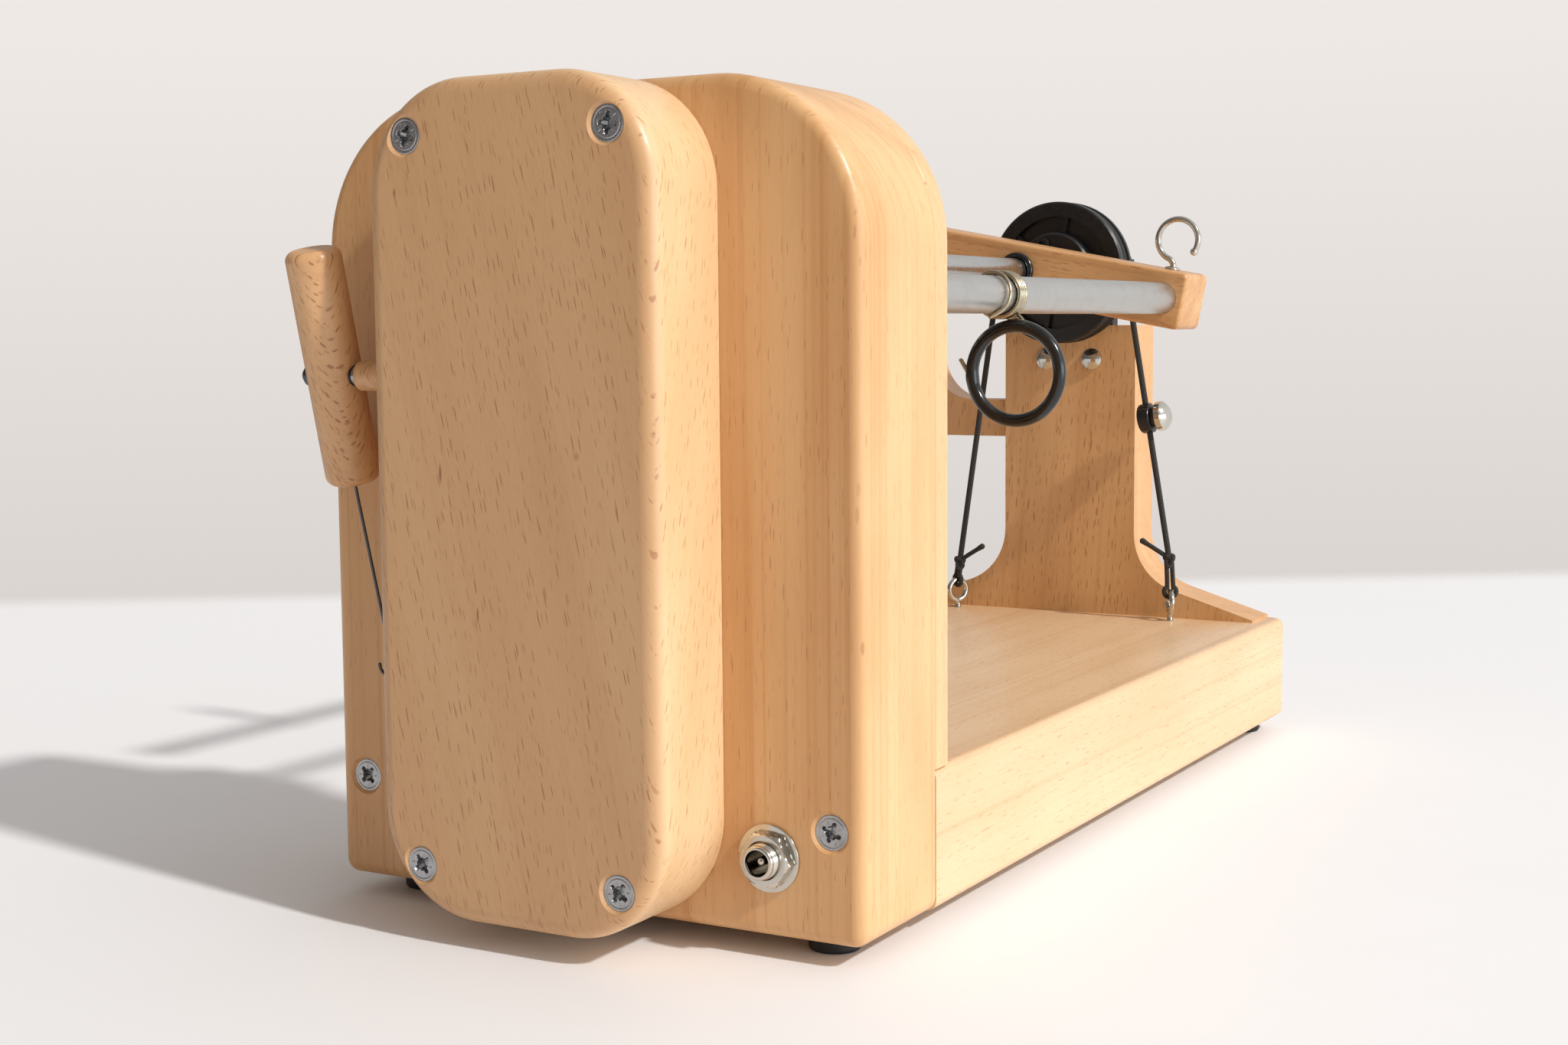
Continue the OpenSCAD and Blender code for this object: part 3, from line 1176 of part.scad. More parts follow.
base_board();
casing();
front_panel();
belt_cover();
cover_screws();
casing_screws();
panel_screws();
rubber_feet();
power_socket();
socket_washer();
socket_nut();
motor();
motor_shaft();
motor_pulley();
motor_screws();
drive_belt();
driven_pulley();
drive_shaft();
shaft_spacer();
shaft_bearings();
bobbin_driver();
control_board();
board_spacers();
potentiometer();
pot_shaft();
speed_knob();
switch_body();
switch_rocker();
upright();
side_arm();
bearing_cradle();
cradle_bolts();
cradle_nuts();
orifice_bearing();
orifice_tube();
brake_disc();
disc_screws();
crossbar();
left_tube();
right_tube();
spindle();
stop_ring();
cup_hooks();
left_clamp();
left_ring();
right_clamp();
right_ring();
screw_eyes();
brake_cord();
cord_lock();
lock_button();
magnet_peg();
magnet();
hook_handle();
hook_pin();
hook_wire();
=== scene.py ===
"""The looks of the electric yarn spinner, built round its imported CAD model.

Lengths in the piece functions are millimetres; build() turns them into metres.
Left and right are as seen from behind, so left is +X, as in the part's source.
"""
import math

import bpy
import numpy as np
from mathutils import Matrix


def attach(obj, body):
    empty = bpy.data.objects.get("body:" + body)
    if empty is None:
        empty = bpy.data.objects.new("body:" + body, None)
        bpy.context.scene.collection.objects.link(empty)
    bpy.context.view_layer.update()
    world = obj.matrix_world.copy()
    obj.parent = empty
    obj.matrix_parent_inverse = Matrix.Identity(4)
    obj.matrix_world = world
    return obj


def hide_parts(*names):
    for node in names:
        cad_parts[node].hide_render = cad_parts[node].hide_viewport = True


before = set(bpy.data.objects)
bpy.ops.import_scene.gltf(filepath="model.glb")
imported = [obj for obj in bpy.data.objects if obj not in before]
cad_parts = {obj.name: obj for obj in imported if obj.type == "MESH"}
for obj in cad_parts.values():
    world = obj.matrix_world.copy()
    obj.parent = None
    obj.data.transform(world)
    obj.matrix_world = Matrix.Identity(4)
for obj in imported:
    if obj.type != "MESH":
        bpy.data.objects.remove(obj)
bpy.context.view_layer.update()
scene = bpy.context.scene

MM = 0.001
TAU = 2 * math.pi
X, Y, Z = np.eye(3)

# Places taken from the part's source, in millimetres.
CASING_REAR = 151.5
PANEL_FRONT = 107.0
COVER_REAR = 177.5
AXIS_Z = 156.0
FLYER_TURN = math.radians(11)
CROSSBAR_MIDDLE = -109.5
DISC_MIDDLE = -137.5


# ------------------------------------------------------------------ camera

def place_camera():
    """The photograph's view: 48.5 mm lens on a 36 mm wide sensor, from behind and to the right."""
    yaw, pitch, roll = (math.radians(a) for a in (29.507, -5.333, -0.454))
    forward = np.array([math.sin(yaw) * math.cos(pitch), -math.cos(yaw) * math.cos(pitch), math.sin(pitch)])
    level = np.cross(forward, Z)
    level /= np.linalg.norm(level)
    above = np.cross(level, forward)
    right = level * math.cos(roll) + above * math.sin(roll)
    up = above * math.cos(roll) - level * math.sin(roll)
    data = bpy.data.cameras.new("camera")
    data.lens, data.sensor_width, data.sensor_fit = 48.46, 36.0, "HORIZONTAL"
    data.clip_start, data.clip_end = 0.01, 20
    camera = bpy.data.objects.new("camera", data)
    scene.collection.objects.link(camera)
    matrix = np.eye(4)
    matrix[:3, 0], matrix[:3, 1], matrix[:3, 2] = right, up, -forward
    matrix[:3, 3] = (-0.27558, 0.54368, 0.13881)
    camera.matrix_world = Matrix(matrix.tolist())
    scene.camera = camera


place_camera()


# ------------------------------------------------------------------ shader maths

class Value:
    """A socket of a finish's node tree. Python's operators on numbers add Math nodes."""

    def __init__(self, finish, socket):
        self.finish, self.socket = finish, socket

    def math(self, operation, *values):
        return self.finish.node("ShaderNodeMath", {"operation": operation}, values)

    def __add__(self, other): return self.math("ADD", self, other)
    def __radd__(self, other): return self.math("ADD", other, self)
    def __sub__(self, other): return self.math("SUBTRACT", self, other)
    def __mul__(self, other): return self.math("MULTIPLY", self, other)
    def __rmul__(self, other): return self.math("MULTIPLY", other, self)
    def __truediv__(self, other): return self.math("DIVIDE", self, other)
    def __lt__(self, other): return self.math("LESS_THAN", self, other)


class Finish:
    """One node tree, made node by node: a material that ends in a Principled shader, or the world."""

    def __init__(self, name, owner=None):
        self.material = owner or bpy.data.materials.new(name)
        self.material.use_nodes = True
        self.tree = self.material.node_tree
        self.tree.nodes.clear()

    def node(self, kind, settings=None, sockets=(), output=0):
        """Adds a node with its settings and the values or links of its sockets; returns its output(s)."""
        made = self.tree.nodes.new(kind)
        for key, value in (settings or {}).items():
            if key == "stops":
                self.set_stops(made.color_ramp, value)
            else:
                setattr(made, key, value)
        pairs = sockets.items() if isinstance(sockets, dict) else enumerate(sockets)
        for key, value in pairs:
            if isinstance(value, Value):
                self.tree.links.new(value.socket, made.inputs[key])
            else:
                made.inputs[key].default_value = value
        if isinstance(output, tuple):
            return [Value(self, made.outputs[key]) for key in output]
        return Value(self, made.outputs[output]) if made.outputs else made

    @staticmethod
    def set_stops(ramp, stops):
        while len(ramp.elements) < len(stops):
            ramp.elements.new(0.5)
        for element, (position, colour) in zip(ramp.elements, stops):
            element.position, element.color = position, colour

    def place(self, turn=(0, 0, 0), shift=(0, 0, 0)):
        """Object coordinates in millimetres, turned by the given angles in degrees."""
        seat = self.node("ShaderNodeTexCoord", output="Object")
        return self.node("ShaderNodeMapping", {"vector_type": "POINT"}, {
            "Vector": seat, "Location": shift, "Scale": (1 / MM,) * 3,
            "Rotation": tuple(math.radians(a) for a in turn)})

    def vector(self, operation, *values):
        return self.node("ShaderNodeVectorMath", {"operation": operation}, values)

    def length(self, vector):
        return self.node("ShaderNodeVectorMath", {"operation": "LENGTH"}, (vector,), "Value")

    def mix(self, factor, a, b, blend="MIX"):
        """A colour between a and b."""
        return self.node("ShaderNodeMix", {"data_type": "RGBA", "blend_type": blend},
                         {0: factor, 6: a, 7: b}, 2)

    def noise(self, place, size, detail=2.0, roughness=0.5):
        """Smooth noise from 0 to 1 whose lumps have the given sizes in millimetres along the three axes."""
        scaled = self.vector("DIVIDE", place, tuple(size))
        return self.node("ShaderNodeTexNoise", {"noise_dimensions": "3D"},
                         {"Vector": scaled, "Scale": 1.0, "Detail": detail, "Roughness": roughness}, "Fac")

    def ramp(self, value, low, high, to_low=0.0, to_high=1.0):
        """The value's range low..high mapped smoothly onto to_low..to_high."""
        return self.node("ShaderNodeMapRange", {"interpolation_type": "SMOOTHSTEP"}, {
            "Value": value, "From Min": low, "From Max": high, "To Min": to_low, "To Max": to_high})

    def bump(self, height, depth, strength=1.0):
        """A bent normal from a height of 0..1 that stands for the given depth in millimetres."""
        return self.node("ShaderNodeBump", None, {
            "Strength": strength, "Distance": depth * MM, "Height": height})

    def shade(self, **sockets):
        """Ends the tree in a Principled shader; socket names are written with underscores."""
        values = {key.replace("_", " "): value for key, value in sockets.items()}
        shader = self.node("ShaderNodeBsdfPrincipled", None, values)
        self.node("ShaderNodeOutputMaterial", None, {"Surface": shader})
        return self.material


def rgb(red, green, blue):
    """A colour given as it is seen on a screen, 0 to 255, as a linear colour."""
    seen = np.array([red, green, blue]) / 255
    linear = np.where(seen <= 0.04045, seen / 12.92, ((seen + 0.055) / 1.055) ** 2.4)
    return (*linear.tolist(), 1.0)


# ------------------------------------------------------------------ wood

# The rays' layers: spacing and half-size of a fleck across, into and along the fibre in mm, the share of
# cells that hold one, a shift that sets the layers apart, and the layer's strength.
RAY_LAYERS = (
    ((1.3, 2.0, 4.2), (0.15, 1.0, 2.2), 0.90, (0, 0, 0), 1.0),
    ((1.8, 2.6, 5.2), (0.18, 1.3, 2.7), 0.80, (31, 17, 9), 1.0),
    ((0.8, 1.6, 2.8), (0.09, 0.8, 1.2), 0.60, (7, 41, 23), 0.5),
)
LINE_TONE = (0.80, 0.66, 0.50, 1)
FIBRE_TONE = (0.72, 0.62, 0.50, 1)
FLECK_TONE = (0.48, 0.28, 0.16, 1)
MARK_TONE = (0.42, 0.20, 0.10, 1)


def flecks(wood, place, cell, half, share, shift):
    """Dark rays: each Voronoi cell holds one lens-shaped fleck, measured from the cell's own point.

    cell is the spacing and half the half-size of a fleck across, into and along the fibre, in mm.
    """
    scaled = wood.vector("DIVIDE", wood.vector("ADD", place, shift), tuple(cell))
    colour, point = wood.node("ShaderNodeTexVoronoi", {"voronoi_dimensions": "3D", "feature": "F1"},
                              {"Vector": scaled, "Scale": 1.0, "Randomness": 0.8}, ("Color", "Position"))
    stretch = tuple(c / h for c, h in zip(cell, half))
    away = wood.length(wood.vector("MULTIPLY", wood.vector("SUBTRACT", scaled, point), stretch))
    chance, size, depth = wood.node("ShaderNodeSeparateColor", None, (colour,), (0, 1, 2))
    lens = wood.ramp(away / (0.6 + 0.5 * size), 1.0, 0.45)
    return lens * (chance < share) * (0.4 + 0.6 * depth)


def marks_mask(wood, marks):
    """Natural marks: a soft ellipsoid at each place, as one mask. A mark is place, half-sizes, strength."""
    seat = wood.place()
    total = 0.0
    for middle, half, strength in marks:
        away = wood.length(wood.vector("DIVIDE", wood.vector("SUBTRACT", seat, middle), half))
        total = total + wood.ramp(away, 1.0, 0.2, 0.0, strength)
    return total


def beech(name, pale, deep, turn, fleck=0.75, stripes=0.35, spacing=1.0, marks=(), painted_rear_shade=None):
    """Lacquered beech: faint growth bands, fine fibre, three layers of ray flecks and a satin coat.

    pale and deep are the wood's lightest and darkest band; turn brings the fibre onto Z, and the
    rays' sheets lie at 45 degrees to the board's faces. The last argument is the Y, in mm, over which
    the back face, which the light only grazes, is darkened with painted shade, and that shade's tone.
    """
    wood = Finish(name)
    place = wood.place(turn)
    bands = wood.noise(place, (9.0, 30.0, 320.0), 3.0, 0.5)
    lines = wood.noise(place, (1.3, 9.0, 340.0), 2.0, 0.5)
    fibre = wood.noise(place, (0.2, 0.2, 5.0), 2.0, 0.6)
    cloud = wood.noise(place, (26.0, 26.0, 60.0), 2.0, 0.5)
    tone = wood.mix(wood.ramp(bands * 0.6 + cloud * 0.4, 0.30, 0.70), pale, deep)
    # Painted shade: over the last few mm towards the back face the tone is multiplied darker, for the shade
    # that the grazing light leaves there.
    if painted_rear_shade:
        low, high, back_shade_tone = painted_rear_shade
        _, depth, _ = wood.node("ShaderNodeSeparateXYZ", None, (wood.place(),), (0, 1, 2))
        tone = wood.mix(wood.ramp(depth, low, high), tone, (*back_shade_tone, 1), "MULTIPLY")
    line = wood.ramp(lines, 0.50, 0.72) * stripes
    tone = wood.mix(line, tone, LINE_TONE, "MULTIPLY")
    tone = wood.mix(wood.ramp(fibre, 0.35, 0.75) * 0.16, tone, FIBRE_TONE, "MULTIPLY")
    rays = 0.0
    for cell, half, share, shift, strength in RAY_LAYERS:
        spaced = tuple(spacing * c for c in cell)
        rays = rays + flecks(wood, place, spaced, half, share, shift) * strength
    rays = wood.ramp(rays, 0.0, 1.0)
    tone = wood.mix(rays * fleck, tone, FLECK_TONE, "MULTIPLY")
    if marks:
        tone = wood.mix(marks_mask(wood, marks), tone, MARK_TONE, "MULTIPLY")
    height = 0.6 * fibre - 0.7 * rays + 0.2 * lines
    return wood.shade(
        Base_Color=tone, Roughness=wood.ramp(fibre, 0.2, 0.8, 0.36, 0.50) + rays * 0.08,
        Normal=wood.bump(height, 0.035, 0.5), Coat_Weight=0.2, Coat_Roughness=0.24, IOR=1.5)


COVER_MARKS = (
    ((18.5, 177.5, 107.0), (0.6, 2.0, 3.0), 0.8),
    ((29.5, 177.5, 168.5), (0.5, 2.0, 1.3), 0.7),
    ((-18.0, 177.5, 111.5), (1.2, 2.0, 1.3), 0.35),
    ((9.0, 177.5, 76.0), (0.45, 2.0, 2.4), 0.75),
    ((22.0, 177.5, 136.5), (0.3, 2.0, 1.8), 0.6),
)
VERTICAL = (0, 0, 45)
COVER_GRAIN = (0, -12, 45)
ALONG_BASE = (90, 0, 45)
ALONG_BAR = (0, -79, 45)

# The cover and the casing carry painted shade on their back faces: the last argument darkens the tone there.
cover_beech = beech("beech_cover", rgb(231, 193, 148), rgb(223, 181, 134), COVER_GRAIN, 0.62, 0.12,
                    marks=COVER_MARKS, painted_rear_shade=(173.8, 177.2, (0.78, 0.68, 0.60)))
casing_beech = beech("beech_casing", rgb(229, 184, 132), rgb(212, 159, 104), VERTICAL, 0.42, 0.45, 1.2,
                     painted_rear_shade=(148.8, 151.3, (0.90, 0.86, 0.82)))
panel_beech = beech("beech_panel", rgb(229, 186, 138), rgb(216, 168, 116), (0, 0, 30), 0.55, 0.3, 1.1)
base_beech = beech("beech_base", rgb(233, 198, 158), rgb(222, 182, 138), ALONG_BASE, 0.45, 0.3, 1.1)
upright_beech = beech("beech_upright", rgb(222, 174, 120), rgb(206, 152, 96), (0, 4, 60), 0.6, 0.35, 0.9)
crossbar_beech = beech("beech_crossbar", rgb(222, 172, 118), rgb(196, 138, 84), ALONG_BAR, 0.6, 0.7, 0.9)
turned_beech = beech("beech_turned", rgb(218, 170, 122), rgb(200, 148, 98), (-13, 0, 45), 0.75, 0.3, 0.8)


# ------------------------------------------------------------------ metals, plastics, cords

TARNISH = (0.6, 0.58, 0.55, 1)


def metal(name, colour, roughness, spread=0.08, lumps=(0.5, 0.5, 0.5), depth=0.004, dirt=0.25):
    """Metal with a fine brushed or rolled surface: noise stretched by lumps bends the light and the gloss."""
    metal_finish = Finish(name)
    place = metal_finish.place()
    brushed = metal_finish.noise(place, lumps, 3.0, 0.6)
    patches = metal_finish.noise(place, (4, 4, 4), 2.0, 0.5)
    tone = metal_finish.mix(metal_finish.ramp(patches, 0.45, 0.75) * dirt, colour, TARNISH, "MULTIPLY")
    return metal_finish.shade(
        Base_Color=tone, Metallic=1.0,
        Roughness=metal_finish.ramp(brushed, 0.3, 0.7, roughness - spread, roughness + spread),
        Normal=metal_finish.bump(brushed, depth, 0.6))


def moulded(name, colour, roughness, grain=0.3, depth=0.01, coat=0.0):
    """Moulded plastic or rubber: a fine leather-like grain, slight dust and an even gloss."""
    plastic = Finish(name)
    place = plastic.place()
    skin = plastic.noise(place, (grain,) * 3, 2.0, 0.5)
    dust = plastic.noise(place, (3, 3, 3), 3.0, 0.6)
    dusty = (*(c * 1.8 + 0.004 for c in colour[:3]), 1)
    tone = plastic.mix(plastic.ramp(dust, 0.5, 0.8) * 0.35, colour, dusty)
    return plastic.shade(
        Base_Color=tone, Roughness=plastic.ramp(dust, 0.3, 0.7, roughness - 0.05, roughness + 0.07),
        Normal=plastic.bump(skin, depth, 0.5), Coat_Weight=coat, Coat_Roughness=0.15)


def braided(name, dark, light, strands, pitch):
    """Braided elastic cord on the piece's own UV map: u runs along it in mm and v round it from 0 to 1."""
    cord = Finish(name)
    uv = cord.node("ShaderNodeUVMap", {"uv_map": "run"})
    along, around, _ = cord.node("ShaderNodeSeparateXYZ", None, (uv,), (0, 1, 2))
    one = (along / pitch + around * strands) * TAU
    other = (along / pitch - around * strands) * TAU
    weave = one.math("SINE", one) * other.math("SINE", other)
    fuzz = cord.noise(cord.place(), (0.15, 0.15, 0.15), 3.0, 0.7)
    tone = cord.mix(cord.ramp(weave, -0.3, 0.6), dark, light)
    tone = cord.mix(fuzz * 0.5, tone, (0.5, 0.45, 0.4, 1), "MULTIPLY")
    return cord.shade(Base_Color=tone, Roughness=0.82 + 0.1 * fuzz,
                      Normal=cord.bump(weave * 0.6 + fuzz * 0.4, 0.12, 0.8), Sheen_Weight=0.15)


def circuit_board_finish():
    """Green solder mask with paler copper tracks that run in a square net under it."""
    board = Finish("solder_mask")
    place = board.place()
    x, _, z = board.node("ShaderNodeSeparateXYZ", None, (place,), (0, 1, 2))
    tracks = (board.ramp(x.math("PINGPONG", x, 1.5), 0.9, 1.0)
              + board.ramp(z.math("PINGPONG", z, 2.2), 1.6, 1.7))
    mottle = board.noise(place, (2, 2, 2), 2.0, 0.5)
    tone = board.mix(board.ramp(tracks, 0.4, 0.6) * 0.5, (0.008, 0.10, 0.04, 1), (0.03, 0.24, 0.09, 1))
    return board.shade(Base_Color=tone, Roughness=0.3 + 0.1 * mottle, Normal=board.bump(tracks, 0.03, 0.4))


zinc = metal("zinc_screw_heads", rgb(176, 176, 178), 0.30, 0.06, (0.25, 0.25, 0.25), 0.006, 0.5)
nickel = metal("nickel_plate", rgb(205, 200, 190), 0.16, 0.05, (0.4, 0.4, 0.4), 0.002, 0.2)
spring_wire = metal("spring_wire", rgb(188, 176, 150), 0.24, 0.06, (0.3, 0.3, 0.3), 0.002, 0.4)
steel = metal("ground_steel", rgb(190, 188, 184), 0.28, 0.08, (3.0, 0.15, 3.0), 0.002, 0.2)
tube_metal = metal("drawn_aluminium", rgb(196, 193, 188), 0.40, 0.06, (0.25, 14.0, 0.25), 0.006, 0.15)
motor_metal = metal("blackened_steel", rgb(92, 94, 98), 0.36, 0.08, (0.6, 0.6, 0.6), 0.003, 0.3)
magnet_metal = metal("magnet_plate", rgb(168, 168, 170), 0.22, 0.05, (0.3, 0.3, 0.3), 0.002, 0.2)
black_plastic = moulded("black_moulding", (0.0065, 0.0065, 0.0068, 1), 0.30, 0.25, 0.006)
grey_plastic = moulded("grey_moulding", (0.03, 0.03, 0.032, 1), 0.45, 0.3, 0.012)
ring_rubber = moulded("ring_sleeve", (0.005, 0.005, 0.005, 1), 0.20, 0.6, 0.004, 0.3)
foot_rubber = moulded("foot_rubber", (0.012, 0.011, 0.011, 1), 0.62, 0.3, 0.02)
belt_rubber = moulded("belt_rubber", (0.014, 0.014, 0.014, 1), 0.55, 0.2, 0.02)
painted = moulded("powder_coat", (0.011, 0.011, 0.012, 1), 0.48, 0.35, 0.02)
cord_braid = braided("elastic_braid", (0.008, 0.007, 0.006, 1), (0.055, 0.046, 0.036, 1), 6, 1.5)
solder_mask = circuit_board_finish()

FINISH_OF_NODE = {
    "base_board": base_beech, "casing": casing_beech, "front_panel": panel_beech, "belt_cover": cover_beech,
    "upright": upright_beech, "side_arm": upright_beech, "crossbar": crossbar_beech,
    "magnet_peg": turned_beech, "hook_handle": turned_beech,
    "cover_screws": zinc, "casing_screws": zinc, "panel_screws": zinc, "motor_screws": zinc,
    "power_socket": nickel, "socket_washer": nickel, "socket_nut": nickel, "board_spacers": nickel,
    "cradle_bolts": nickel, "cradle_nuts": nickel, "cup_hooks": nickel, "screw_eyes": nickel,
    "left_clamp": spring_wire, "right_clamp": spring_wire, "lock_button": nickel, "magnet": magnet_metal,
    "motor_shaft": steel, "drive_shaft": steel, "shaft_bearings": steel, "pot_shaft": steel,
    "orifice_bearing": steel, "orifice_tube": steel, "spindle": steel,
    "motor_pulley": tube_metal, "shaft_spacer": tube_metal, "left_tube": tube_metal, "right_tube": tube_metal,
    "motor": motor_metal, "hook_pin": motor_metal, "hook_wire": motor_metal,
    "driven_pulley": black_plastic, "bobbin_driver": black_plastic, "speed_knob": black_plastic,
    "switch_body": black_plastic, "brake_disc": black_plastic, "cord_lock": black_plastic,
    "potentiometer": grey_plastic, "switch_rocker": grey_plastic,
    "left_ring": ring_rubber, "right_ring": ring_rubber, "stop_ring": ring_rubber, "rubber_feet": foot_rubber,
    "drive_belt": belt_rubber, "bearing_cradle": painted, "disc_screws": painted,
    "brake_cord": cord_braid, "control_board": solder_mask,
}


def dress_nodes():
    """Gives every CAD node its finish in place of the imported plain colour."""
    for node, made in FINISH_OF_NODE.items():
        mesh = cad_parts[node].data
        mesh.materials.clear()
        mesh.materials.append(made)


dress_nodes()


# ------------------------------------------------------------------ surfaces

def unit(vectors):
    """Each vector divided by its own length."""
    return vectors / np.linalg.norm(vectors, axis=-1, keepdims=True)


def eased(corners, radius, steps=5, closed=False):
    """A polyline whose corners are rounded: each corner becomes the quadratic curve between two points
    that lie the radius before and after it, but never past the middle of a side."""
    corners = np.asarray(corners, float)
    before, after = np.roll(corners, 1, axis=0), np.roll(corners, -1, axis=0)
    radius = np.broadcast_to(np.asarray(radius, float), len(corners))
    reach_in = np.minimum(radius, 0.49 * np.linalg.norm(corners - before, axis=1))[:, None]
    reach_out = np.minimum(radius, 0.49 * np.linalg.norm(corners - after, axis=1))[:, None]
    start = corners + unit(before - corners) * reach_in
    end = corners + unit(after - corners) * reach_out
    t = np.linspace(0, 1, steps)[None, :, None]
    curve = (1 - t) ** 2 * start[:, None] + 2 * t * (1 - t) * corners[:, None] + t ** 2 * end[:, None]
    if closed:
        return curve.reshape(-1, corners.shape[1])
    return np.concatenate([corners[:1], curve[1:-1].reshape(-1, corners.shape[1]), corners[-1:]])


def through(points, steps=8):
    """A smooth path through the points: the Catmull-Rom cubic between each pair, sampled evenly."""
    p = np.asarray(points, float)
    p = np.concatenate([2 * p[:1] - p[1:2], p, 2 * p[-1:] - p[-2:-1]])
    t = np.linspace(0, 1, steps, endpoint=False)[None, :, None]
    a, b, c, d = (p[k:len(p) - 3 + k][:, None] for k in range(4))
    curve = 0.5 * (2 * b + (c - a) * t + (2 * a - 5 * b + 4 * c - d) * t ** 2
                   + (3 * b - a - 3 * c + d) * t ** 3)
    return np.concatenate([curve.reshape(-1, 3), p[-2:-1]])


def tube(path, radius, sides=16, across=(0, 1, 0), round_ends=True):
    """A wire: circles square to the path, whose first direction is the path's heading crossed with across;
    at each end the radius falls as a quarter circle, which closes it with a round tip."""
    path = np.asarray(path, float)
    heading = unit(np.gradient(path, axis=0))
    radius = np.broadcast_to(np.asarray(radius, float), len(path))
    across = np.broadcast_to(np.asarray(across, float), path.shape)
    if round_ends:
        turn = np.linspace(0.08, 1, 6)[:, None] * math.pi / 2
        tip = radius[0] * np.cos(turn[::-1]), radius[-1] * np.cos(turn)
        path = np.concatenate([path[0] - heading[0] * radius[0] * np.sin(turn[::-1]), path,
                               path[-1] + heading[-1] * radius[-1] * np.sin(turn)])
        radius = np.concatenate([np.maximum(tip[0][:, 0], 0.01), radius, np.maximum(tip[1][:, 0], 0.01)])
        heading = np.concatenate([np.repeat(heading[:1], 6, 0), heading, np.repeat(heading[-1:], 6, 0)])
        across = np.concatenate([np.repeat(across[:1], 6, 0), across, np.repeat(across[-1:], 6, 0)])
    first = unit(np.cross(heading, across))
    second = np.cross(heading, first)
    angle = np.arange(sides) * TAU / sides
    spoke = first[:, None] * np.cos(angle)[None, :, None] + second[:, None] * np.sin(angle)[None, :, None]
    return path[:, None] + radius[:, None, None] * spoke


def basis(axis):
    """Two directions square to the axis and to each other."""
    axis = unit(np.asarray(axis, float))
    helper = Z if abs(axis[2]) < 0.9 else X
    side = unit(np.cross(helper, axis))
    return side, np.cross(axis, side), axis


def turned(profile, middle, axis, sides=72, start=0.0):
    """A turned shape: the profile of (radius, distance along the axis) points, swept round the axis."""
    profile = np.asarray(profile, float)
    side, other, along = basis(axis)
    angle = start + np.arange(sides) * TAU / sides
    spoke = side * np.cos(angle)[:, None] + other * np.sin(angle)[:, None]
    return np.asarray(middle, float) + profile[:, None, :1] * spoke + profile[:, None, 1:] * along


def faces_of(rows, columns, loop):
    """Quads of a grid closed round its columns, and round its rows if loop; otherwise two fans end it."""
    r = np.arange(rows if loop else rows - 1)[:, None]
    c = np.arange(columns)[None, :]
    low, high = r * columns, ((r + 1) % rows) * columns
    quads = np.stack([low + c, low + (c + 1) % columns, high + (c + 1) % columns, high + c], -1)
    quads = quads.reshape(-1, 4)
    if loop:
        return quads, np.zeros((0, 3), int)
    c = np.arange(columns)
    start, end, last = rows * columns, rows * columns + 1, (rows - 1) * columns
    fans = np.concatenate([
        np.stack([np.full(columns, start), (c + 1) % columns, c], -1),
        np.stack([np.full(columns, end), last + c, last + (c + 1) % columns], -1)])
    return quads, fans


def volume(points, quads, fans):
    """Six times the signed volume inside a closed mesh: positive when its faces point outwards."""
    triangles = np.concatenate([quads[:, :3], quads[:, [0, 2, 3]], fans])
    a, b, c = (points[triangles[:, k]] for k in range(3))
    return np.einsum("ij,ij->", a, np.cross(b, c))


def build(name, grids, finish, body, replaces=(), loops=(), sharp=40):
    """One piece from closed grids of points, in mm, that rides on a body and stands for CAD nodes.

    Each grid is rows x columns x 3 and is closed round its columns. A grid whose number is in loops is
    closed round its rows too; any other has a fan over its first and over its last row.
    """
    points, quads, fans, runs = [], [], [], []
    first = 0
    for number, grid in enumerate(grids):
        rows, columns = grid.shape[:2]
        loop = number in loops
        flat = grid.reshape(-1, 3)
        if not loop:
            flat = np.concatenate([flat, grid[0].mean(0)[None], grid[-1].mean(0)[None]])
        q, f = faces_of(rows, columns, loop)
        middle = flat.mean(0)
        if volume(flat - middle, q, f) < 0:
            q, f = q[:, ::-1], f[:, ::-1]
        walk = np.concatenate([[0], np.cumsum(np.linalg.norm(np.diff(grid.mean(1), axis=0), axis=1))])
        runs.append((walk, rows, columns, first))
        points.append(flat)
        quads.append(q + first)
        fans.append(f + first)
        first += len(flat)
    points, quads, fans = (np.concatenate(a) for a in (points, quads, fans))
    mesh = bpy.data.meshes.new(name)
    mesh.from_pydata((points * MM).tolist(), [], quads.tolist() + fans.tolist())
    add_run_uv(mesh, runs, len(points))
    mesh.polygons.foreach_set("use_smooth", np.ones(len(mesh.polygons), bool))
    mesh.set_sharp_from_angle(angle=math.radians(sharp))
    mesh.materials.append(finish)
    mesh.validate()
    mesh.update()
    piece = bpy.data.objects.new(name, mesh)
    scene.collection.objects.link(piece)
    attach(piece, body)
    if replaces:
        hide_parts(*replaces)
    return piece


def add_run_uv(mesh, runs, count):
    """A UV map named run: u is the way along a grid's middle line in mm, v the way round from 0 to 1."""
    along, around = np.zeros(count), np.zeros(count)
    for walk, rows, columns, first in runs:
        along[first:first + rows * columns] = np.repeat(walk, columns)
        around[first:first + rows * columns] = np.tile(np.arange(columns) / columns, rows)
    corner = np.zeros(len(mesh.loops), np.int32)
    mesh.loops.foreach_get("vertex_index", corner)
    starts = np.zeros(len(mesh.polygons), np.int32)
    totals = np.zeros(len(mesh.polygons), np.int32)
    mesh.polygons.foreach_get("loop_start", starts)
    mesh.polygons.foreach_get("loop_total", totals)
    u, v = along[corner], around[corner]
    highest = np.repeat(np.maximum.reduceat(v, starts), totals)
    v = np.where((highest > 0.7) & (v < 0.3), v + 1, v)
    layer = mesh.uv_layers.new(name="run")
    layer.data.foreach_set("uv", np.stack([u, v], -1).ravel().astype(np.float32))


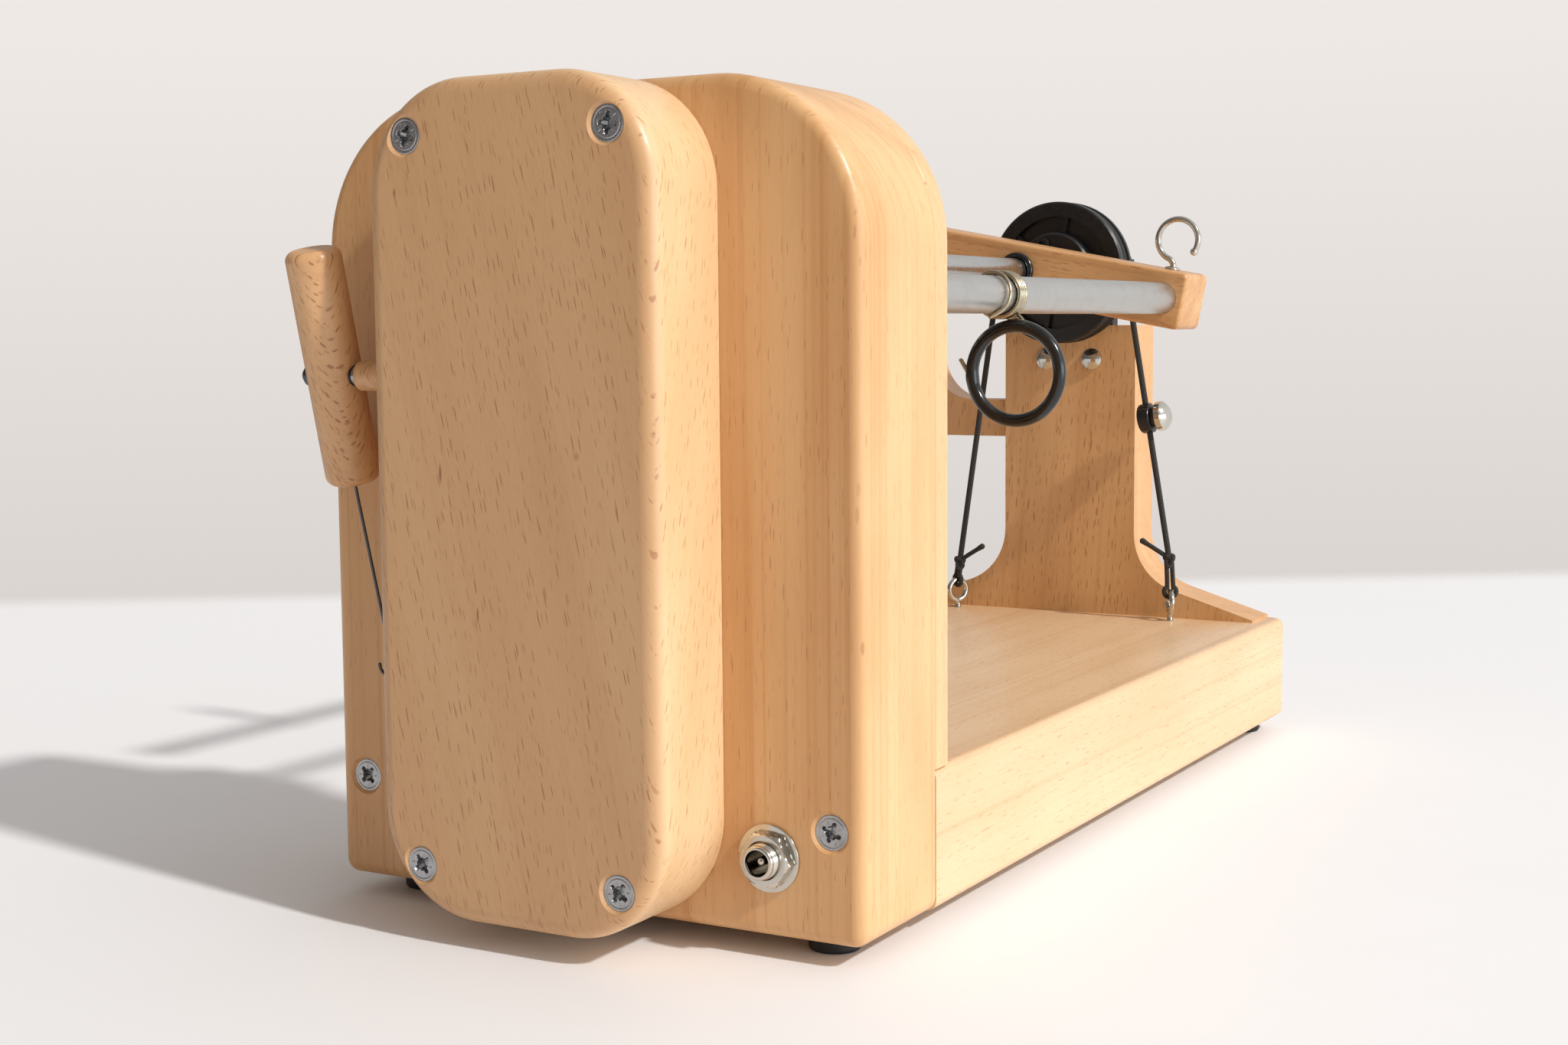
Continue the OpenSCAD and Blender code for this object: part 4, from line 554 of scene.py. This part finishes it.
def on_flyer(points):
    """Turns points set in the flyer's own frame, whose axis is Y, to their place at rest."""
    c, s = math.cos(FLYER_TURN), math.sin(FLYER_TURN)
    x, y, z = (points[..., k] for k in range(3))
    return np.stack([x * c - z * s, y, x * s + z * c + AXIS_Z], -1)


# ------------------------------------------------------------------ screws

HEAD_SINK = 0.6
THREAD_PITCH = 1.8


def recess(radius, angle):
    """Depth of a cross recess: deep where the nearer arm's axis is close, rising towards the arm's tip,
    with a second short cross between the arms and four fine radial ticks beyond it."""
    x, y = np.abs(radius * np.cos(angle)), np.abs(radius * np.sin(angle))
    off, along = np.minimum(x, y), np.maximum(x, y)
    step = lambda value, low, high: np.clip((value - low) / (high - low), 0, 1)
    arm = step(0.72 - 0.10 * along - off, 0, 0.22) * step(2.45 - along, 0, 0.35)
    floor = 1.9 - 0.62 * np.clip(along - 0.6, 0, 2)
    turned_x = np.abs((x - y) * math.sqrt(0.5))
    second = step(0.42 - turned_x, 0, 0.15) * step(1.55 - radius, 0, 0.3)
    core = step(1.25 - radius, 0, 0.35) * 1.9
    tick = step(0.10 - turned_x, 0, 0.08) * step(radius - 1.9, 0, 0.2) * step(2.9 - radius, 0, 0.2) * 0.10
    return np.maximum.reduce([arm * floor, second * 1.5, core, tick])


def countersunk(middle, axis, length, turn):
    """A countersunk wood screw: a polar height field for the head, a cone under it and a threaded shank.

    The head's face has a rounded rim, a ring groove near it and the recess; the thread is a row of
    rounded ridges, 1.8 mm apart, whose crest follows a helix.
    """
    sides = 112
    angle = np.arange(sides) * TAU / sides
    face = np.concatenate([np.linspace(0.03, 2.6, 40), np.linspace(2.66, 3.7, 16), [3.8, 3.88, 3.94, 3.98]])
    rim = np.array([0.0, 0.02, 0.05, 0.1])
    radius = face[:, None] * np.ones(sides)
    groove = 0.13 * np.exp(-((face - 3.25) / 0.10) ** 2)
    top = -groove[:, None] - recess(radius, angle[None, :] + turn)
    top[-4:] -= rim[:, None]
    shank_z = np.linspace(-2.5, -length + 3.5, 120)
    crest = np.cos((shank_z[:, None] / THREAD_PITCH) * TAU + angle[None, :])
    ridge = 1.62 + 0.34 * np.clip(crest, -0.2, 1) ** 2
    ridge = np.where(shank_z[:, None] > -length * 0.35, 1.75, ridge)
    low_r = np.concatenate([[[4.0], [3.9]] * np.ones(sides), [[1.9]] * np.ones(sides), ridge,
                            [[1.2], [0.5], [0.1]] * np.ones(sides)])
    low_z = np.concatenate([[-0.2, -0.32], [-2.3], shank_z, [-length + 2, -length + 0.7, -length]])
    r = np.concatenate([radius, low_r])
    z = np.concatenate([top, low_z[:, None] * np.ones(sides)]) - HEAD_SINK
    side, other, along = basis(axis)
    spoke = side * np.cos(angle)[:, None] + other * np.sin(angle)[:, None]
    return np.asarray(middle, float) + r[..., None] * spoke + z[..., None] * along


# Each screw: where its head's face is, in mm, and how far its recess is turned, in radians.
COVER_MID_Z, COVER_SCREW_X, COVER_SCREW_Z = 99.5, 26.7, 81.3
CASING_SCREW_X, CASING_SCREW_Z = 64.4, 30
PANEL_LOW = (67.5, 50)
PANEL_HIGH = (36.5 + 21.92, 157 + 21.92)
COVER_TURNS = ((1, 1, 0.35), (-1, 1, 0.12), (1, -1, 0.95), (-1, -1, 0.62))
CASING_TURNS = ((1, 0.8), (-1, 0.4))

cover_screws = [((sx * COVER_SCREW_X, COVER_REAR, COVER_MID_Z + sz * COVER_SCREW_Z), Y, 33, turn)
                for sx, sz, turn in COVER_TURNS]
casing_screws = [((sx * CASING_SCREW_X, CASING_REAR, CASING_SCREW_Z), Y, 50, turn)
                 for sx, turn in CASING_TURNS]
panel_places = (PANEL_LOW, (-PANEL_LOW[0], PANEL_LOW[1]), PANEL_HIGH, (-PANEL_HIGH[0], PANEL_HIGH[1]))
panel_screws = [((x, PANEL_FRONT, z), -Y, 25, 0.3 * k) for k, (x, z) in enumerate(panel_places)]
for word, screws in (("cover", cover_screws), ("casing", casing_screws), ("panel", panel_screws)):
    build(f"{word}_screw_set", [countersunk(*screw) for screw in screws], zinc, "housing",
          [f"{word}_screws"], sharp=25)


# ------------------------------------------------------------------ power socket

JACK = np.array([-49.5, CASING_REAR, 23.0])


def socket_barrel():
    """The socket: a threaded barrel with a rolled lip and a stepped bore, turned round the socket's axis."""
    thread_z = np.linspace(-6.5, 5.0, 93)
    thread = np.stack([3.82 + 0.14 * np.cos(thread_z / 0.75 * TAU), thread_z], -1)
    lip = [(3.86, 5.15), (3.80, 5.55), (3.55, 5.9), (3.25, 6.0), (2.95, 5.92), (2.82, 5.6), (2.8, 4.8),
           (2.8, -3.4), (0.05, -3.45)]
    back = [(0.05, -22), (5.4, -22), (5.5, -21.8), (5.5, -8.1), (5.45, -8.0), (3.9, -8.0), (3.9, -6.6)]
    return turned(np.concatenate([back, thread, lip]), JACK, Y)


def contact_pin():
    """The contact pin inside the bore: a small turned pin with a domed end."""
    profile = [(0.05, -3.45), (0.95, -3.4), (0.95, 3.9), (0.8, 4.3), (0.45, 4.5), (0.05, 4.55)]
    return turned(profile, JACK, Y, 32)


def hex_nut(middle, axis, across_flats, bore_r, height, start, chamfer=0.55):
    """A hexagon nut: the radius of a hexagon at each angle, cut by a chamfer cone at both faces."""
    sides = 96
    angle = np.arange(sides) * TAU / sides
    hexagon = across_flats / 2 / np.cos((angle + math.pi / 6) % (math.pi / 3) - math.pi / 6)
    inner, limit = across_flats / 2 * 0.97, across_flats / 2
    rows = [(None, bore_r, 0.25), (None, bore_r + 0.35, 0.0), (None, inner, 0.0), (limit, 0, 0.12),
            (limit + 0.45, 0, 0.42), (9e9, 0, chamfer + 0.2), (9e9, 0, height - chamfer - 0.2),
            (limit + 0.45, 0, height - 0.42), (limit, 0, height - 0.12), (None, inner, height),
            (None, bore_r + 0.35, height), (None, bore_r, height - 0.25)]
    radius = np.stack([np.full(sides, r) if cap is None else np.minimum(hexagon, cap) for cap, r, _ in rows])
    level = np.array([z for *_, z in rows])[:, None] * np.ones(sides)
    side, other, along = basis(axis)
    spoke = side * np.cos(angle + start)[:, None] + other * np.sin(angle + start)[:, None]
    return np.asarray(middle, float) + radius[..., None] * spoke + level[..., None] * along


washer_profile = eased([(4.15, 0.02), (7.6, 0.02), (7.6, 0.98), (4.15, 0.98)], 0.22, closed=True)
build("power_socket_barrel", [socket_barrel(), contact_pin()], nickel, "housing", ["power_socket"])
build("power_socket_washer", [turned(washer_profile, JACK, Y)], nickel, "housing",
      ["socket_washer"], loops=[0])
build("power_socket_nut", [hex_nut(JACK + Y * 1.0, Y, 11.4, 4.05, 2.4, 0.42)], nickel, "housing",
      ["socket_nut"], loops=[0], sharp=25)


# ------------------------------------------------------------------ yarn guides and hooks

CLAMP_Y, TUBE_X = 24.5, 50.0
RING_LEAN = math.radians(21)
COIL_R, COIL_TURNS, COIL_PITCH = 5.9, 4, 1.272
LOOSE_PITCH, LEG_ANGLE, CLAMP_WIRE_R = 8.0, math.radians(40), 0.6
RING_MID, RING_WIRE, RING_ARM = 12.55, 1.75, 21.1


def on_tube(points, side):
    """Turns points set round a flyer tube, with the guide ring hanging below, to their place at rest."""
    c, s = math.cos(RING_LEAN), math.sin(RING_LEAN)
    x, y, z = (points[..., k] for k in range(3))
    leaned = np.stack([x * c + z * s - TUBE_X, y + CLAMP_Y, z * c - x * s], -1)
    return on_flyer(leaned * (-side, 1, -side))


def guide_wire():
    """The clamp: a helix of radius COIL_R with one loose turn and four tight ones, then a leg that bends
    down to the ring, sampled as one smooth path with a round wire on it."""
    t = np.linspace(0, COIL_TURNS + 1, 41)
    slope = np.where(t < 1, LOOSE_PITCH, COIL_PITCH) * (1 - t) + COIL_PITCH * COIL_TURNS / 2
    coil = np.stack([-COIL_R * np.sin(TAU * t), slope, -COIL_R * np.cos(TAU * t)], -1)
    way = unit(np.array([3.4, -0.6, 2.5]))
    end = np.array([-RING_MID * math.sin(LEG_ANGLE), 0, -RING_ARM + RING_MID * math.cos(LEG_ANGLE)])
    leg = [coil[-1] + (-2.2, -0.3, -0.2), end + 4.2 * way, end + 2.0 * way, end]
    return tube(through(np.concatenate([coil, leg]), 5), CLAMP_WIRE_R, 14)


def guide_tail():
    """The wire's bare end: a straight round wire that leaves the sleeve at the ring's side."""
    start = np.array([RING_MID, 0, -RING_ARM])
    way = np.array([math.sin(math.radians(22)), 0, math.cos(math.radians(22))])
    return tube([start - 1.2 * way, start + 3 * way, start + 6.6 * way], CLAMP_WIRE_R, 14)


def guide_sleeve():
    """The rubber sleeve: a torus whose section swells by a twentieth where its two ends meet."""
    around = np.arange(96) * TAU / 96
    section = np.arange(24) * TAU / 24
    swell = RING_WIRE * (1 + 0.05 * np.exp(-((around - 0.08) / 0.10) ** 2))
    reach = RING_MID + swell[:, None] * np.cos(section)
    return np.stack([reach * np.cos(around)[:, None], swell[:, None] * np.sin(section),
                     reach * np.sin(around)[:, None] - RING_ARM], -1)


for side, word in ((1, "left"), (-1, "right")):
    build(f"{word}_guide_wire", [on_tube(guide_wire(), side), on_tube(guide_tail(), side)], spring_wire,
          f"{word}_guide", [f"{word}_clamp"])
    build(f"{word}_guide_sleeve", [on_tube(guide_sleeve(), side)], ring_rubber, f"{word}_guide",
          [f"{word}_ring"], loops=[0])


CUP_R, CUP_MID, CUP_WIRE_R = 6.6, 9.6, 0.95
CUP_PLACE = (-48.6, 0, 9)


def cup_hook(side):
    """A cup hook: a collar, and a wire that rises out of it and runs round three quarters of a circle."""
    bend = np.radians(np.linspace(258, -25, 26))
    arc = np.stack([-CUP_R * np.cos(bend), 0 * bend, CUP_MID + CUP_R * np.sin(bend)], -1)
    wire = tube(through(np.concatenate([[[0, 0, -3.4], [0, 0, 0], [0, 0, 1.6]], arc]), 4), CUP_WIRE_R, 16)
    collar = turned(np.concatenate([[(0.05, 0.01), (2.3, 0.01)], eased([(2.3, 0.01), (2.5, 0.4), (2.2, 0.8),
                    (1.2, 1.1)], 0.3), [(0.05, 1.1)]]), (0, 0, 0), Z, 40)
    tip = np.linspace(0, math.pi, 15)
    ball = turned(np.stack([1.25 * np.sin(tip) + 0.01, -1.25 * np.cos(tip)], -1), arc[-1], Z, 24)
    return [on_flyer((grid + CUP_PLACE) * (side, 1, side) + (0, CROSSBAR_MIDDLE, 0))
            for grid in (wire, collar, ball)]


build("cup_hook_pair", cup_hook(1) + cup_hook(-1), nickel, "flyer", ["cup_hooks"])


# ------------------------------------------------------------------ brake cord

EYE = np.array([39.5, -139.0, 44.35])
EYE_R, EYE_WIRE_R = 3.6, 0.95
CORD_R, CORD_Y = 22.9, DISC_MIDDLE
RUN_R, TIED_R = 1.0, 0.8
KNOTS = ((38.0, 55.0), (-39.5, 59.5))


def eye_frame(side):
    """The direction along a screw eye's top wire and the direction across it, both level."""
    turn = math.radians(90 - side * 30)
    return np.array([math.cos(turn), math.sin(turn), 0]), np.array([-math.sin(turn), math.cos(turn), 0])


def screw_eye(side):
    """A screw eye: a wire that rises from the board, runs once round a circle of 7.2 mm and ends at its neck,
    and a row of thread ridges where the shank enters the wood."""
    along, _ = eye_frame(side)
    middle = EYE * (side, 1, 1)
    bend = np.radians(np.linspace(-72, 262, 40))
    loop = middle + EYE_R * (np.cos(bend)[:, None] * along + np.sin(bend)[:, None] * Z)
    neck = middle * (1, 1, 0) + np.array([[0, 0, 31.0], [0, 0, 36.0], [0, 0, 39.2]])
    level = np.linspace(31, 40.2, 60)
    ridge = 0.9 + 0.22 * np.cos(level / 0.9 * TAU) ** 2
    thread = turned(np.stack([ridge, level], -1), middle * (1, 1, 0), Z, 20)
    return [tube(through(np.concatenate([neck, loop]), 4), EYE_WIRE_R, 16, np.cross(along, Z)), thread]


build("screw_eye_pair", screw_eye(1) + screw_eye(-1), nickel, "housing", ["screw_eyes"])


def cord_run():
    """The cord's middle line: straight from each knot to the groove, where it touches the circle, and
    round the disc; the angles come from the two tangents."""
    knots = np.array(KNOTS)
    way = knots - (0, AXIS_Z)
    far = np.linalg.norm(way, axis=1)
    turn = np.arctan2(way[:, 1], way[:, 0]) + np.array([1, -1]) * np.arccos(CORD_R / far)
    arc = np.linspace(turn[0], turn[1] + TAU, 60)
    ring = np.stack([CORD_R * np.cos(arc), AXIS_Z + CORD_R * np.sin(arc)], -1)
    t = np.linspace(0, 1, 24)[:, None]
    up, down = knots[0] + t * (ring[0] - knots[0]), ring[-1] + t * (knots[1] - ring[-1])
    flat = np.concatenate([up, ring[1:-1], down])
    return np.stack([flat[:, 0], np.full(len(flat), CORD_Y), flat[:, 1]], -1)


def knot(middle, size):
    """A tied knot: a cord that follows the trefoil curve (sin t + 2 sin 2t, -sin 3t, cos t - 2 cos 2t), drawn
    out by a tenth along Y and a quarter along Z."""
    t = np.linspace(0.12, TAU - 0.12, 90)
    curve = np.stack([np.sin(t) + 2 * np.sin(2 * t), -1.1 * np.sin(3 * t),
                      1.25 * (np.cos(t) - 2 * np.cos(2 * t))], -1)
    heading = unit(np.gradient(curve, axis=0))
    return tube(middle + size * curve, TIED_R, 14, np.cross(heading, unit(curve + (0, 0.3, 0))))


def cord_ends(place, side):
    """What hangs on a knot: the loop round the screw eye's top wire, and the cut tail with a frayed tip."""
    along, across = eye_frame(side)
    middle = np.array([place[0], CORD_Y, place[1]])
    top = EYE * (side, 1, 1) + EYE_R * Z
    bend = np.radians(np.arange(30, 331, 20))[:, None]
    ring = top + 2.05 * (np.cos(bend) * Z + np.sin(bend) * across)
    loop = np.concatenate([[middle + 0.9 * across], ring, [middle - 0.9 * across]])
    tail = middle + np.array([[0, 0, 0], [-side * 4, 0.5, 2.5], [-side * 9, 1, 5.5]])
    swell = np.concatenate([np.full(13, TIED_R), np.linspace(TIED_R, 1.05, 4)])
    return [tube(through(loop, 4), TIED_R, 14, along), tube(through(tail, 8), swell, 14),
            knot(middle - Z * 0.6, 0.56)]


build("brake_cord_braid", [tube(cord_run(), RUN_R, 18)] + cord_ends(KNOTS[0], 1) + cord_ends(KNOTS[1], -1),
      cord_braid, "housing", ["brake_cord"])


# ------------------------------------------------------------------ threading hook

HANDLE = (59, CASING_REAR + 13.4, 128)
CROOK_R, STRAIGHT = 2.2, 41.6


def threader_wire():
    """The hook's wire: down out of the handle, a bend to nearly upright, a straight run and a small crook
    of 2.2 mm radius, first set along the handle's axis and then leaned with it."""
    lean, hang, sideways = math.radians(13), math.radians(8), math.tan(math.radians(9))
    crook = np.radians(np.arange(195, 376, 20))
    drop = np.concatenate([-np.linspace(0.6, STRAIGHT, 12), -STRAIGHT + CROOK_R * np.sin(crook)])
    out = np.concatenate([np.zeros(12), CROOK_R + CROOK_R * np.cos(crook)])
    run = np.stack([drop * sideways, out * math.cos(hang) - drop * math.sin(hang),
                    -28 + out * math.sin(hang) + drop * math.cos(hang)], -1)
    path = through(np.concatenate([[[0, 0, -16.0], [0, 0, -24.0], [0, 0, -27.2]], run]), 5)
    y, z = path[:, 1].copy(), path[:, 2].copy()
    path[:, 1] = y * math.cos(lean) + z * math.sin(lean) + HANDLE[1]
    path[:, 2] = z * math.cos(lean) - y * math.sin(lean) + HANDLE[2]
    path[:, 0] += HANDLE[0]
    return tube(path, 0.4, 12, X)


build("threader_wire", [threader_wire()], motor_metal, "threading_hook", ["hook_wire"])


# ------------------------------------------------------------------ stage and light

WALL_FOOT = 34.5    # degrees that the foot of the wall is turned from X


def floor_finish():
    """A pale table top, faintly uneven, that fades out at the far line where it meets the wall."""
    table = Finish("table_top")
    place = table.place((0, 0, -WALL_FOOT))
    _, y, _ = table.node("ShaderNodeSeparateXYZ", None, (place,), (0, 1, 2))
    mottle = table.noise(place, (60, 60, 60), 2.0, 0.5)
    tone = table.mix(mottle, rgb(245, 244, 244), rgb(242, 240, 240))
    shader = table.node("ShaderNodeBsdfPrincipled", None,
                        {"Base Color": tone, "Roughness": 0.55 + 0.1 * mottle})
    clear = table.node("ShaderNodeBsdfTransparent")
    shown = table.ramp(y, -535, -470)
    mixed = table.node("ShaderNodeMixShader", None, {0: shown, 1: clear, 2: shader})
    table.node("ShaderNodeOutputMaterial", None, {"Surface": mixed})
    return table.material


def lay_floor():
    """The table: a wide flat sheet whose far edge lies along the foot of the wall in the photograph."""
    turn = math.radians(WALL_FOOT)
    along, out = np.array([math.cos(turn), math.sin(turn), 0]), np.array([-math.sin(turn), math.cos(turn), 0])
    corners = [along * a * 4.0 + out * b for a, b in ((-1, -0.54), (1, -0.54), (1, 5.0), (-1, 5.0))]
    mesh = bpy.data.meshes.new("table_top")
    mesh.from_pydata([tuple(c) for c in corners], [], [(0, 1, 2, 3)])
    mesh.materials.append(floor_finish())
    table = bpy.data.objects.new("table_top", mesh)
    scene.collection.objects.link(table)


WALL_STOPS = [(0.0, rgb(218, 212, 208)), (1.0, rgb(238, 233, 229))]
FILL_STOPS = [(0.0, (0.15, 0.13, 0.115, 1)), (0.45, (0.40, 0.385, 0.37, 1)), (1.0, (0.92, 0.93, 0.95, 1))]
FILL_WAY = (-0.78, -0.62, 0.08)


def light_room():
    """A pale wall colour behind everything, a softer fill that is dimmer on the camera's side, a key light
    from the right, and a large low panel on the right that lights the upright faces."""
    scene.world = bpy.data.worlds.new("room")
    room = Finish("room", scene.world)
    seat = room.node("ShaderNodeTexCoord", output="Generated")
    _, _, height = room.node("ShaderNodeSeparateXYZ", None, (seat,), (0, 1, 2))
    across = room.node("ShaderNodeVectorMath", {"operation": "DOT_PRODUCT"}, (seat, FILL_WAY), "Value")
    level = room.node("ShaderNodeMapRange", None, {"Value": height, "From Min": -0.13, "From Max": 0.13})
    sideways = room.node("ShaderNodeMapRange", None, {"Value": across, "From Min": -1.0, "From Max": 1.0})
    wall = room.node("ShaderNodeValToRGB", {"stops": WALL_STOPS}, (level,))
    fill = room.node("ShaderNodeValToRGB", {"stops": FILL_STOPS}, (sideways,))
    seen = room.node("ShaderNodeBackground", None, {"Color": wall})
    unseen = room.node("ShaderNodeBackground", None, {"Color": fill})
    by_eye = room.node("ShaderNodeLightPath", output="Is Camera Ray")
    mixed = room.node("ShaderNodeMixShader", None, {0: by_eye, 1: unseen, 2: seen})
    room.node("ShaderNodeOutputWorld", None, {"Surface": mixed})
    place_lamp("key", "SUN", (-1.18, 0.217, 1.0), (0, 0, 1), 2.5, (1.0, 0.99, 0.975), angle=math.radians(3.2))
    place_lamp("panel", "AREA", (-1, 0.22, 0.10), (-2.7, 0.55, 0.42), 21, (0.74, 0.91, 1.0),
               shape="RECTANGLE", size=2.4, size_y=0.8)


def place_lamp(name, kind, towards, place, energy, colour, **settings):
    """A lamp at a place, in metres, that shines from the direction towards."""
    data = bpy.data.lights.new(name, kind)
    data.energy, data.color = energy, colour
    for key, value in settings.items():
        setattr(data, key, value)
    lamp = bpy.data.objects.new(name, data)
    side, other, along = basis(towards)
    matrix = np.eye(4)
    matrix[:3, 0], matrix[:3, 1], matrix[:3, 2], matrix[:3, 3] = side, other, along, place
    lamp.matrix_world = Matrix(matrix.tolist())
    scene.collection.objects.link(lamp)


lay_floor()
light_room()
scene.view_settings.view_transform = "Standard"
